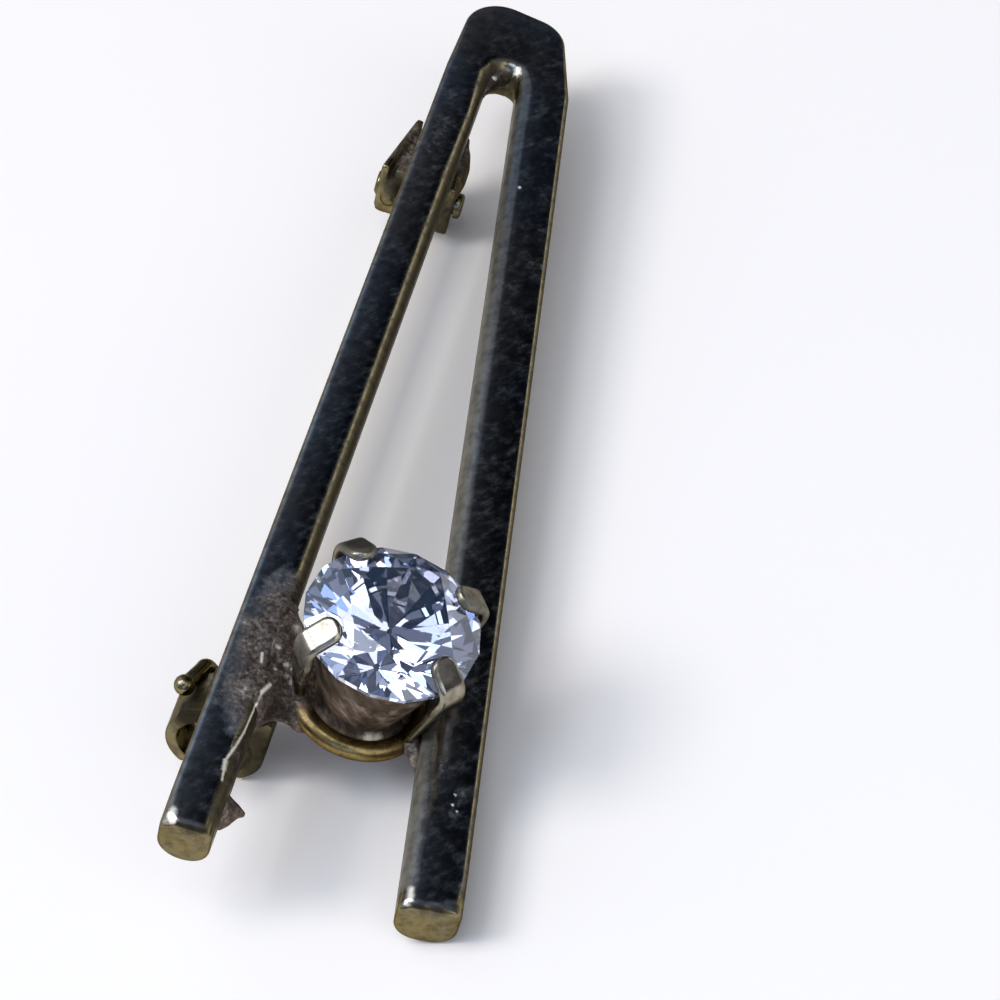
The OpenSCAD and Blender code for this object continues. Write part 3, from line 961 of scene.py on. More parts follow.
@dataclass
class BentBar:
    """The bar: one length of flat-fronted wire bent to a narrow V."""

    left_w: float = 1.77
    right_w: float = 2.1
    thick: float = 2.1
    spread_mm: float = 8.25
    angle: float = 7.6
    right_extra: float = 0.23
    front_r: float = 0.24
    end_front_r: float = 0.4
    left_inner_r: float = 0.5
    right_inner_r: float = 0.55
    crotch_front_r: float = 0.58
    back_r: float = 0.85
    end_r: float = 0.15
    corner_r: float = 0.3
    corner_fade: Pair = (0.15, 0.75)
    crown_mm: float = 0.055
    worn_corners: tuple[Triple, ...] = ((-0.885, 0.0, 0.0), (7.209, -0.369, 0.0))
    worn_way: Triple = (-0.5, -0.506, 0.70)
    worn_deep: float = 0.36
    worn_reach: float = 1.6
    worn_share: float = 0.96
    left_run: float = 37.95
    right_run: float = 38.4
    crotch: Pair = (1.5, 37.95)
    crotch_r: float = 0.6
    bend: tuple[Triple, ...] = ((0.77, 40.6, 1.54), (1.98, 40.5, 1.46))
    corner_steps: int = 10
    flat_steps: int = 7
    step_mm: float = 0.3
    end_step_mm: float = 0.07
    end_run: float = 1.2
    end_shrinks: Pair = (0.8, 0.68)
    end_spare: float = 0.02

    def right_point(self, along: float, across: float) -> np.ndarray:
        """A point on the right leg, given along and across it."""
        a = math.radians(self.angle)
        return np.array([
            self.spread_mm - along * math.sin(a) + across * math.cos(a),
            -self.right_extra + along * math.cos(a) + across * math.sin(a),
        ])

    def section(self, w: float, inner_r: float, outer_r: float, shrink: float) -> np.ndarray:
        """The bar's section from its outer to its inner side, as [across, depth]."""
        lo, hi, top, bottom = shrink, w - shrink, -shrink, -self.thick + shrink
        corners = (
            (hi, top, -1, -1, inner_r, 0), (lo, top, 1, -1, outer_r, 90),
            (lo, bottom, 1, 1, self.back_r, 180), (hi, bottom, -1, 1, self.back_r, 270),
        )
        arcs = []
        for x, z, sx, sz, r, start in corners:
            r = max(r - shrink, 0.04)
            turn = np.radians(start + np.linspace(0, 90, self.corner_steps + 1))
            middle = np.array([x + sx * r, z + sz * r])
            arcs.append(middle + r * np.column_stack([np.cos(turn), np.sin(turn)]))
        out = []
        for arc, following in zip(arcs, arcs[1:] + arcs[:1]):
            gap = following[0] - arc[-1]
            out += list(arc)
            out += [arc[-1] + gap * k / self.flat_steps for k in range(1, self.flat_steps)]
        line = np.array(out)
        line[:, 1] -= (line[:, 1] > -self.thick / 2) * self.crown_mm * (2 * line[:, 0] / w - 1) ** 2
        return line

    def ring(self, outer: np.ndarray, inner: np.ndarray, inner_r: float, outer_r: float,
             shrink: float = 0.0) -> np.ndarray:
        """One ring of the bar between an outer and an inner point of its outline."""
        w = float(np.linalg.norm(inner - outer))
        way = (inner - outer) / w
        section = self.section(w, inner_r, outer_r, shrink)
        return np.column_stack([outer + np.outer(section[:, 0], way), section[:, 1]])

    def edge_r(self, along: float) -> float:
        """The outer front edge is rounder close to the cut end."""
        return float(np.interp(along, (0.3, 1.3), (self.end_front_r, self.front_r)))

    def leg(self, place: Callable[[float, float], np.ndarray], half: float, start: float, end: float,
            inner_r: Callable[[float], float]) -> list[np.ndarray]:
        """Rings along a straight leg.

        Args:
            place: Gives a point from a place along the leg and one across it.
            half: Half of the leg's width, negative where its outer side is on the far side.
            start: Where it starts.
            end: Where it ends.
            inner_r: Radius of the inner front edge at a place along the leg.

        Returns:
            The rings.
        """
        away = np.abs(np.arange(0, abs(end - start), self.step_mm) / abs(end - start))
        close = np.arange(0, self.end_run, self.end_step_mm) / abs(end - start)
        close = close if start < end else 1 - close
        shares = np.unique(np.concatenate([away, close, (1.0,)]).round(5))
        return [self.ring(place(y, -half), place(y, half), inner_r(y), self.edge_r(y))
                for y in start + (end - start) * shares]

    def end(self, place: Callable[[float, float], np.ndarray], half: float, inner_r: float,
            glint_at: float) -> list[np.ndarray]:
        """Rings of a leg's cut end, from its face's middle outwards: sharp, but for one worn corner.

        Args:
            place: Gives a point from a place along the leg and one across it.
            half: Half of the leg's width.
            inner_r: Radius of the inner front edge.
            glint_at: Where the worn front corner lies, from the outer side.

        Returns:
            The rings.
        """
        outer_r, w = self.edge_r(0), 2 * half
        near = np.linalg.norm(self.section(w, inner_r, outer_r, 0) - (glint_at, 0), axis=1)
        radius = self.end_r + (self.corner_r - self.end_r) * (1 - smooth_step(near, *self.corner_fade))
        rings = []
        for shrink in self.end_shrinks:
            rings.append(self.ring(place(0, -half), place(0, half), inner_r, outer_r, shrink))
        for turn in np.radians(np.linspace(0, 84, 10)):
            ring = []
            for i, r in enumerate(radius):
                across, depth = self.section(w, inner_r, outer_r, r * (1 - math.sin(turn)))[i]
                ring.append([*place(r * (1 - math.cos(turn)), across - half), depth])
            rings.append(np.array(ring))
        return rings

    def edge_normal(self, a: Point, b: Point) -> float:
        """Angle of the outward normal of the edge that touches two corners of the bend."""
        step = (b[0] - a[0], b[1] - a[1])
        return math.pi / 2 + math.atan2(step[1], step[0]) + math.asin((b[2] - a[2]) / math.hypot(*step))

    def shape(self) -> Shape:
        """Returns the bar's shape."""
        left, right = self.left_w / 2, self.right_w / 2
        top = self.right_point(self.right_run, 0)
        corners = [(0.0, self.left_run, left), *self.bend, (top[0], top[1], right)]

        def on_left(along: float, across: float) -> np.ndarray:
            """A point on the left leg."""
            return np.array([across, along])

        def on_right(along: float, across: float) -> np.ndarray:
            """A point on the right leg, seen from its own outer side."""
            return self.right_point(along, -across)

        def left_inner(along: float) -> float:
            """The left leg's inner edge sharpens above the middle, and is round again at the crotch."""
            radii = (self.left_inner_r, 0.4, self.crotch_front_r)
            return float(np.interp(along, (32, 35.5, self.left_run), radii))

        def right_inner(along: float) -> float:
            """The right leg's inner edge is round at the crotch."""
            radii = (self.right_inner_r, self.crotch_front_r)
            return float(np.interp(along, (self.right_run - 4, self.right_run), radii))

        rings = self.end(on_left, left, self.left_inner_r, 0.0)
        rings += self.leg(on_left, left, self.corner_r + self.end_spare, self.left_run, left_inner)
        for before, here, after in zip(corners, corners[1:], corners[2:]):
            first, last = self.edge_normal(before, here), self.edge_normal(here, after)
            for turn in np.linspace(first, last, 14):
                way = np.array([math.cos(turn), math.sin(turn)])
                outer = np.array(here[:2]) + here[2] * way
                inner = np.array(self.crotch) + self.crotch_r * way
                rings.append(self.ring(outer, inner, self.crotch_front_r, self.front_r))
        rings += self.leg(on_right, right, self.right_run, self.corner_r + self.end_spare, right_inner)
        rings += self.end(on_right, right, self.right_inner_r, self.right_w)[::-1]
        return self.worn(loft(rings))

    def worn(self, shape: Shape) -> Shape:
        """Wears the marked corners down to small, nearly flat facets."""
        way = unit(self.worn_way)
        for corner in self.worn_corners:
            beside = shape.points - corner
            over = beside @ way + self.worn_deep
            near = np.linalg.norm(beside, axis=1) < self.worn_reach
            shape.points -= np.outer(np.maximum(over, 0) * near * self.worn_share, way)
        return shape

    def build(self, finish: Material) -> None:
        """Makes the bar's piece."""
        mesh = self.shape().mesh("bar")
        # painted shade on the legs' sides, with the fronts' painted reflection and the right leg's painted
        # side light
        mark_tarnish_shade_and_light(mesh, sides=0.75)
        piece("bar", mesh, finish)


@dataclass
class Setting:
    """The setting: a base ring, flat claws, and a shallow cup under the stone."""

    middle: Triple = (3.92, 7.64, -1.05)
    lean: float = 5.0
    ring_r: float = 2.2
    wire_r: float = 0.36
    girdle_h: float = 4.38
    crown: float = 34.0
    claw_w: float = 1.0
    claw_foot_w: float = 0.66
    claw_t: float = 0.36
    claw_edge: float = 0.165
    claw_flat: float = 0.42
    claw_tip: float = 0.46
    claw_turns: tuple[Pair, ...] = (
        # turn round the setting, and twist of the foot
        (37, 0), (133, 0), (221, -16), (323, 8),
    )
    twist_h: float = 3.6
    cup_foot_r: float = 1.6
    cup_top_r: float = 2.68
    cup_top_h: float = 3.93

    def place(self) -> Matrix:
        """Matrix from the setting's own axis to the brooch plane."""
        return Matrix.Translation(self.middle) @ Matrix.Rotation(math.radians(self.lean), 4, "Y")

    def base_ring(self) -> Shape:
        """The base ring: a round wire."""
        turn = np.linspace(0, 2 * math.pi, 24, endpoint=False)
        profile = [(self.ring_r + self.wire_r * math.cos(a), self.wire_r * math.sin(a)) for a in turn]
        return lathe(profile, 120, loop=True)

    def cup(self) -> Shape:
        """The cup: a flat floor, a wall that widens to a thin rim, and a seat inside."""
        seat_foot_h = 1.72
        profile = [
            (0.6, -0.2), (1.4, -0.2), (1.95, -0.2), (1.98, -0.12), (1.9, -0.06), (1.72, -0.04),
            (self.cup_foot_r + 0.03, 0.0), (self.cup_foot_r, 0.1),
            *[(np.interp(h, (0.34, self.cup_top_h), (self.cup_foot_r, self.cup_top_r)), h)
              for h in np.linspace(0.4, self.cup_top_h - 0.06, 13)],
            (self.cup_top_r - 0.01, self.cup_top_h), (self.cup_top_r - 0.05, self.cup_top_h),
            *[(np.interp(h, (seat_foot_h, self.cup_top_h), (0.12, self.cup_top_r - 0.07)), h)
              for h in np.linspace(self.cup_top_h - 0.05, seat_foot_h + 0.05, 10)],
        ]
        return lathe(profile, 96)

    def claw(self) -> Shape:
        """One claw, drawn outwards along +X: a flat strap bent over the crown, with a rounded tip."""
        foot = np.array([self.ring_r, 0.0, -0.02])
        shoulder = np.array([3.18, 0.0, self.girdle_h - 0.42])
        bend = np.array([3.34, 0.0, self.girdle_h + 0.2])
        rest = np.array([2.9, 0.0, self.girdle_h + 0.42])
        a = math.radians(self.crown)
        over = np.array([-math.cos(a), 0.0, math.sin(a)])
        path = [foot + (shoulder - foot) * t for t in np.linspace(0, 1, 20)]
        path += [(1 - t) ** 2 * shoulder + 2 * t * (1 - t) * bend + t * t * rest
                 for t in np.linspace(0.1, 1, 10)]
        path += [rest + over * run for run in (0.12, 0.24, 0.34, self.claw_flat)]
        heights = [at[2] for at in path]
        widths = np.interp(heights, (0.2, self.girdle_h - 0.9), (self.claw_foot_w, self.claw_w))
        sections = [rounded_box(w, self.claw_t, self.claw_edge, steps=7, flat=4) for w in widths]
        for turn in np.radians((12, 24, 35, 45, 54, 62, 69, 75, 80, 84)):
            path.append(rest + over * (self.claw_flat + self.claw_tip * math.sin(turn)))
            narrow = 0.1 + 0.9 * math.cos(turn)
            thin = 1 - 0.7 * (1 - math.cos(turn)) ** 2.2
            edge = min(self.claw_edge * thin, 0.45 * self.claw_w * narrow)
            sections.append(rounded_box(self.claw_w * narrow, self.claw_t * thin, edge, steps=7, flat=4))
        return swept(path, sections, (0, 1, 0))

    def claws(self, finish: Material) -> Mesh:
        """All the claws, each turned and twisted to its place by its own inputs of a node tree."""
        inputs: dict[str, tuple[str, object]] = {"Material": ("NodeSocketMaterial", finish)}
        for i, (turn, twist) in enumerate(self.claw_turns, 1):
            inputs[f"Turn {i}"] = ("NodeSocketFloat", math.radians(turn))
            inputs[f"Twist {i}"] = ("NodeSocketFloat", math.radians(twist))
        growth = Growth("claws_nodes", inputs)
        add, given = growth.add, growth.given
        place = add("GeometryNodeInputPosition")
        height = add("ShaderNodeSeparateXYZ", {"Vector": place}, "Z")
        low = add(RANGE, (height, 0, self.twist_h, 1, 0))
        stands = []
        for i in range(1, len(self.claw_turns) + 1):
            twist = add(MATH, (given[f"Twist {i}"], low), operation="MULTIPLY")
            turn = add(MATH, (given[f"Turn {i}"], twist))
            turned = add("ShaderNodeVectorRotate", {"Vector": place, "Angle": turn}, rotation_type="Z_AXIS")
            stands.append(add("GeometryNodeSetPosition", {"Geometry": given["Geometry"], "Position": turned}))
        return growth.run(stands, self.claw().mesh("claw"))

    def build(self, finish: Material, bright: Material, burnt: Material) -> None:
        """Makes the setting's pieces, with one finish each for the ring, the claws and the cup."""
        pieces = (
            ("base_ring", self.base_ring().mesh("base_ring"), finish),
            ("cup", self.cup().mesh("cup"), burnt),
            ("claws", self.claws(bright), bright),
        )
        for name, mesh, look in pieces:
            mesh.transform(self.place())
            mark_tarnish_shade_and_light(mesh)
            piece(name, mesh, look)


@dataclass
class SolderWork:
    """Solder between the setting and the legs, a stray nib, and a run of it in the crotch."""

    voxel: float = 0.05
    web_x: Pair = (0.7, 2.5)
    web_low: Pair = (5.2, 5.72)
    web_high: Pair = (10.0, 9.45)
    web_edge: float = 0.32
    ripple_mm: float = 0.035
    heights: tuple[Pair, ...] = (
        # x, z
        (0.3, -0.14), (0.6, -0.06), (0.8, -0.13), (1.0, -0.22), (1.35, -0.38), (1.7, -0.56), (2.1, -0.77),
        (2.55, -1.0),
    )
    under: float = -1.62
    nib_z: float = -1.24
    bites: tuple[Triple, ...] = ((1.68, 5.16, 0.7), (1.66, 9.98, 0.7))
    fillet: tuple[Quad, ...] = (
        # x, y, z, radius
        (6.05, 6.35, -1.12, 0.4), (6.4, 5.95, -1.15, 0.34), (6.62, 5.5, -1.2, 0.26), (6.5, 6.9, -1.1, 0.4),
    )
    apex: tuple[Quad, ...] = (
        (1.18, 38.42, -0.72, 0.34), (0.98, 38.12, -0.72, 0.3), (0.86, 37.75, -0.78, 0.24),
        (1.42, 38.6, -0.75, 0.3), (0.8, 37.4, -0.85, 0.18),
    )

    def lumps(self, rows: Sequence[Point]) -> Shape:
        """Balls at rows of x, y, z and radius."""
        return together([ball(row[:3], row[3]) for row in rows])

    def reach(self, x: float) -> Pair:
        """Where the web begins and ends along the leg, at a place across it."""
        low = float(np.interp(x, self.web_x, self.web_low))
        high = float(np.interp(x, self.web_x, self.web_high))
        (near_x, near_y, near_r), (far_x, far_y, far_r) = self.bites
        if abs(x - near_x) < near_r:
            low = max(low, near_y + math.sqrt(near_r ** 2 - (x - near_x) ** 2))
        if abs(x - far_x) < far_r:
            high = min(high, far_y - math.sqrt(far_r ** 2 - (x - far_x) ** 2))
        return low, high

    def web(self) -> Shape:
        """The web between the left leg and the base ring: it flows down from the leg's front."""
        places, tops = zip(*self.heights)
        rings = []
        for x in np.linspace(places[0], places[-1], 30):
            low, high = self.reach(x)
            top = float(np.interp(x, places, tops))
            box = rounded_box(high - low, top - self.under, self.web_edge, steps=6, flat=14)
            y, z = box[:, 0] + (low + high) / 2, box[:, 1] + (top + self.under) / 2
            upper = z > (top + self.under) / 2
            z = z + upper * self.ripple_mm * (np.sin(3.1 * y + 2 * x) + np.sin(5.3 * y - 4.1 * x + 1))
            rings.append(np.column_stack([np.full(len(box), x), y, z]))
        return loft(rings)

    def nib(self) -> Shape:
        """The stray nib beside the left leg's end: blunt, on a broad foot."""
        middle = ((0.62, 1.75), (0.88, 1.76), (1.05, 1.8), (1.2, 1.84), (1.34, 1.86), (1.44, 1.85))
        path = [(x, y, self.nib_z) for x, y in middle]
        return tube(path, (0.74, 0.64, 0.48, 0.34, 0.22, 0.13), (0, 0, 1))

    def build(self, finish: Material) -> None:
        """Makes the solder's pieces."""
        pieces = (
            # name, shape, crumbs to the square mm, their sizes, passes of smoothing
            ("solder_web", self.web(), 2.2, (0.03, 0.085), 5),
            ("solder_fillet", self.lumps(self.fillet), 1.5, (0.03, 0.07), 8),
            ("solder_apex", self.lumps(self.apex), 1.0, (0.03, 0.06), 14),
            ("solder_nib", self.nib(), 1.5, (0.03, 0.08), 4),
        )
        for seed, (name, shape, crumbs, sizes, passes) in enumerate(pieces, 3):
            ground = sown(name + "_nodes", shape.mesh(name), finish, crumbs, sizes, seed)
            mesh = melted(ground, self.voxel, passes)
            mark_tarnish_shade_and_light(mesh)
            piece(name, mesh, finish)


@dataclass
class PinHinge:
    """The hinge: two splayed ears on a plate, the rivet, and the pin that turns on it."""

    axis: Triple = Placement.hinge
    foot_h: float = 1.9
    ear_r: float = 1.3218
    ear_reach: float = 1.42
    ear_ts: Pair = (0.34, 0.5)
    bosses: tuple[Triple, ...] = ((-1.46, -0.67, 1.12), (0.67, 1.42, 1.15))
    crumbs: tuple[Quad, ...] = (
        (-1.05, 0.3, 1.5, 0.16), (-0.95, 0.9, 1.55, 0.14), (-1.12, -0.4, 1.4, 0.15), (-0.9, 1.4, 1.55, 0.12),
    )
    outer_splay: float = 12.0
    inner_splay: float = 3.0
    foot_run: float = 2.0
    ear_back: float = 0.96
    plate: tuple[Pair, ...] = ((-1.1, -0.9), (1.3, -1.1), (1.2, 1.8), (-0.8, 1.8))
    plate_z: Pair = (1.15, 1.75)
    rivet_r: float = 0.4
    head_r: float = 0.52
    rivet_ends: Pair = (1.612, 1.499)
    head_ts: Pair = (0.2, 0.3)
    eye_w: float = 1.2
    eye_r: float = 0.95
    eye_lap: float = 0.7
    eye_edge: float = 0.12
    bore_gap: float = 0.05
    pin_r: float = 0.375
    stem_end: float = 5.9
    tip_y: float = 4.3
    tip_r: float = 0.06
    voxel: float = 0.045
    passes: int = 42

    def ear(self, side: int, splay: float, thick: float) -> Shape:
        """One ear: a round lobe at the rivet that runs up to a long foot on the bar.

        Args:
            side: 1 on the inner side of the pin, -1 on the outer side.
            splay: Angle at which it splays towards the catch.
            thick: Its thickness.

        Returns:
            The ear.
        """
        turns = np.radians(np.linspace(-196, 16, 40))
        lobe = [(self.ear_r * math.cos(a), self.ear_r * math.sin(a)) for a in turns]
        outline = lobe + [(self.foot_run, self.foot_h), (-self.ear_back * self.ear_r, self.foot_h)]
        slab = prism(outline, -thick / 2, thick / 2)
        away = side * (self.ear_reach - thick / 2)
        stand = Matrix(((0, 0, 1, away), (1, 0, 0, 0), (0, 1, 0, 0), (0, 0, 0, 1)))
        return slab.moved(Matrix.Rotation(math.radians(side * splay), 4, "Z") @ stand)

    def solder(self) -> Shape:
        """Ridges of solder along the ears' feet, and bosses round the rivet."""
        inner = tube([
            (1.02, -1.25, 1.0), (1.2, -0.9, 1.25), (1.32, -0.2, 1.4), (1.33, 0.6, 1.45), (1.22, 1.3, 1.5),
            (1.05, 1.9, 1.5),
        ], (0.3, 0.36, 0.38, 0.36, 0.32, 0.24), (0, 0, 1))
        outer = tube([
            (-1.08, -1.0, 0.35), (-1.08, -0.85, 0.8), (-1.02, -0.5, 1.1), (-0.94, 0.1, 1.3),
            (-0.9, 0.9, 1.35), (-0.8, 1.7, 1.35),
        ], (0.36, 0.4, 0.42, 0.4, 0.34, 0.26), (1, 0, 0))
        crumbs = [ball(row[:3], row[3]) for row in self.crumbs]
        stand = Matrix.Rotation(math.pi / 2, 4, "Y")
        bosses = []
        for low, high, r in self.bosses:
            profile = [
                (0.3, low), (r - 0.15, low), (r, low + 0.12), (r, high - 0.12), (r - 0.15, high), (0.3, high),
            ]
            bosses.append(lathe(profile, 40).moved(stand))
        return together([inner, outer, *crumbs, *bosses])

    def bracket(self) -> Shape:
        """The ears, their plate and the solder round them."""
        outer = self.ear(-1, self.outer_splay, self.ear_ts[0])
        inner = self.ear(1, self.inner_splay, self.ear_ts[1])
        parts = [outer, inner, prism(self.plate, *self.plate_z), self.solder()]
        return together(parts).moved(Matrix.Translation(self.axis))

    def rivet(self) -> Shape:
        """The rivet, with a large domed head on the inner side and a low one on the outer side."""
        (outer, inner), (low_t, high_t) = self.rivet_ends, self.head_ts
        r = self.head_r
        profile = [
            (0.2, -outer - low_t), (0.42, -outer - 0.92 * low_t), (r, -outer - 0.45 * low_t), (r, -outer),
            (self.rivet_r, -outer), (self.rivet_r, inner), (r, inner), (r, inner + 0.6 * high_t),
            (r * 0.94, inner + 0.82 * high_t), (r * 0.75, inner + 0.96 * high_t), (r * 0.4, inner + high_t),
        ]
        return lathe(profile, 40).moved(Matrix.Translation(self.axis) @ Matrix.Rotation(math.pi / 2, 4, "Y"))

    def eye(self) -> Shape:
        """The pin's eye: a band with a bore for the rivet."""
        bore = self.rivet_r + self.bore_gap
        box = rounded_box(self.eye_r - bore, self.eye_w, self.eye_edge)
        profile = [((self.eye_r + bore) / 2 + x, y) for x, y in box]
        return lathe(profile, 64, loop=True).moved(
            Matrix.Translation(self.axis) @ Matrix.Rotation(math.pi / 2, 4, "Y"))

    def stem(self) -> Shape:
        """The pin's stem, with a tapered tip."""
        x, start, z = self.axis
        straight = [(x, y, z) for y in np.linspace(start - self.eye_lap, self.stem_end, 40)]
        taper = [(x, y, z) for y in np.linspace(self.stem_end, self.tip_y + self.tip_r, 14)[1:]]
        radii = [self.pin_r] * len(straight)
        fall = np.cos(np.linspace(0, math.pi / 2, 14)[1:]) ** 0.8
        radii += list(self.tip_r + (self.pin_r - self.tip_r) * fall)
        return tube(straight + taper, radii, (1, 0, 0), sides=28)

    def build(self, plate: Material, wire: Material) -> None:
        """Makes the hinge's pieces and the pin."""
        bracket = melted(self.bracket().mesh("hinge_bracket"), self.voxel, self.passes)
        mark_tarnish_shade_and_light(bracket)
        piece("hinge_bracket", bracket, plate)
        piece("rivet", self.rivet().mesh("rivet"), plate, node="hinge_rivet", crease=60)
        pin = self.eye().with_shape(self.stem()).mesh("pin")
        piece("pin", pin, wire, Body.PIN, "pin_stem")


@dataclass
class SafetyCatch:
    """The catch: a rolled shell soldered to the bar, and the lever that turns in it."""

    start: Triple = (-0.38, 5.6, -3.75)
    run: float = 2.0
    outer: float = 1.75
    wall: float = 0.42
    half_mouth: float = 35.0
    pad: tuple[Pair, ...] = (
        # across, depth
        (-0.7, 1.45), (-0.7, 1.95), (1.3, 1.95), (1.55, 2.2), (1.8, 2.1), (1.74, 1.0), (1.5, 0.3),
        (1.36, 0.4), (1.0, 1.1), (0.4, 1.4),
    )
    lug: tuple[Pair, ...] = (
        (-1.5, 0.9), (-1.38, 1.5), (-1.2, 1.72), (-0.7, 1.9), (-0.7, 1.5), (-1.15, 1.1),
    )
    lug_run: float = 0.45
    set_back: Pair = (0.04, 0.03)
    shell_edge: float = 0.12
    sleeve_edge: float = 0.09
    sleeve_mouth: float = 5
    clearance: float = 0.08
    sleeve_t: float = 0.33
    near: float = 1.0
    arm_y: float = 2.38
    arm_r: float = 0.26
    arm_reach: float = 1.78
    ball_r: float = 0.37
    ball_reach: float = 2.27
    ball_y: float = 1.0
    lever_at: float = 132.0
    knee_r: float = 0.28
    voxel: float = 0.045
    passes: int = 4

    def shell(self) -> Shape:
        """The shell's rolled wall, and the solder that joins it to the bar."""
        wall = rolled_wall(self.outer - self.wall, self.outer, self.run, self.half_mouth, self.shell_edge)
        stand = Matrix(((1, 0, 0, 0), (0, 0, 1, 0), (0, 1, 0, 0), (0, 0, 0, 1)))
        pad_back, lug_back = self.set_back
        pad = prism(self.pad, pad_back, self.run - pad_back).moved(stand)
        lug = prism(self.lug, lug_back, self.lug_run).moved(stand)
        return together([wall, pad, lug]).moved(Matrix.Translation(self.start))

    def lever(self) -> Shape:
        """The lever: a sleeve, and a bent arm that ends in a ball."""
        sleeve_r = self.outer - self.wall - self.clearance
        run = self.arm_y + self.arm_r - self.near
        mouth = self.half_mouth + self.sleeve_mouth
        sleeve = rolled_wall(sleeve_r - self.sleeve_t, sleeve_r, run, mouth, self.sleeve_edge)
        sleeve = sleeve.moved(Matrix.Translation((0, self.near, 0)))
        knee = self.arm_reach - self.knee_r
        out = [(r, self.arm_y, 0.0) for r in np.linspace(sleeve_r - self.sleeve_t / 2, knee, 6)]
        bend = [(knee + self.knee_r * math.sin(a), self.arm_y - self.knee_r * (1 - math.cos(a)), 0.0)
                for a in np.radians((18, 36, 54, 72, 88))]
        ends = np.array([bend[-1], (self.ball_reach, self.ball_y, 0.0)])
        back = [ends[0] + (ends[1] - ends[0]) * t for t in (0.25, 0.5, 0.75, 1.0)]
        path = out + bend + back
        arm = tube(path, [self.arm_r] * len(path), (0, 0, 1))
        knob = ball((self.ball_reach, self.ball_y, 0), self.ball_r)
        turn = Matrix.Rotation(math.radians(-self.lever_at), 4, "Y")
        return sleeve.with_shape(arm.with_shape(knob).moved(turn)).moved(Matrix.Translation(self.start))

    def build(self, finish: Material) -> None:
        """Makes the catch's two pieces."""
        shell = melted(self.shell().mesh("catch_shell"), self.voxel, self.passes)
        mark_tarnish_shade_and_light(shell)
        piece("catch_shell", shell, finish)
        piece("catch_lever_arm", self.lever().mesh("catch_lever_arm"), finish, Body.LEVER, node="catch_lever")


@dataclass
class RoundBrilliant:
    """The stone: a round brilliant with a table, stars, kites and paired facets."""

    girdle_r: float = 3.0
    table_share: float = 0.58
    crown: float = 34.0
    pavilion: float = 41.0
    girdle_t: float = 0.16
    tip_share: float = 0.24
    count: int = 8

    def ring(self, count: int, first: float, r: float, z: float) -> list[Triple]:
        """A ring of corners."""
        turns = [math.radians(first + i * 360 / count) for i in range(count)]
        return [(r * math.cos(a), r * math.sin(a), z) for a in turns]

    def shape(self) -> Shape:
        """Returns the stone round its own axis, with its girdle at height 0."""
        n = self.count
        step = 360 / n
        half = self.girdle_t / 2
        lean = math.cos(math.radians(step / 2))
        table_r = self.girdle_r * self.table_share
        star_r = (table_r + self.girdle_r) / 2
        tip_r = self.tip_share * self.girdle_r
        rise, fall = math.tan(math.radians(self.crown)), math.tan(math.radians(self.pavilion))
        points = self.ring(n, 0, table_r, half + (self.girdle_r - table_r) * rise)
        points += self.ring(n, step / 2, star_r, half + (self.girdle_r - star_r * lean) * rise)
        points += self.ring(2 * n, 0, self.girdle_r, half)
        points += self.ring(2 * n, 0, self.girdle_r, -half)
        points += self.ring(n, step / 2, tip_r, -half - (self.girdle_r - tip_r * lean) * fall)
        points.append((0, 0, -half - self.girdle_r * fall))
        star, upper, lower, tip, culet = n, 2 * n, 4 * n, 6 * n, 7 * n
        faces: list[tuple[int, ...]] = [tuple(range(n))]
        for i in range(n):
            j, h = (i + 1) % n, (i - 1) % n
            after = (2 * i + 2) % (2 * n)
            faces += [
                (i, j, star + i), (i, star + i, upper + 2 * i, star + h),
                (star + i, upper + 2 * i + 1, upper + 2 * i), (star + i, upper + after, upper + 2 * i + 1),
                (lower + 2 * i, lower + 2 * i + 1, tip + i), (lower + 2 * i + 1, lower + after, tip + i),
                (lower + 2 * i, tip + i, culet, tip + h),
            ]
        for i in range(2 * n):
            j = (i + 1) % (2 * n)
            faces.append((upper + i, upper + j, lower + j, lower + i))
        return Shape(np.array(points), faces)

    def build(self, finish: Material, setting: Setting) -> None:
        """Makes the stone's piece."""
        place = setting.place() @ Matrix.Translation((0, 0, setting.girdle_h))
        mesh = self.shape().moved(place).mesh("cut_stone")
        piece("cut_stone", mesh, finish, node="stone", crease=1)


@dataclass(frozen=True)
class Softbox:
    """A soft light that faces the brooch from a direction."""

    name: str
    towards: Triple
    away_mm: float
    size_mm: Pair
    watts: float
    tint: str


@dataclass(frozen=True)
class Wall:
    """A patch of the studio's surroundings, by its direction and its inner and outer angle."""

    towards: Triple
    inner: float
    outer: float
    tint: str


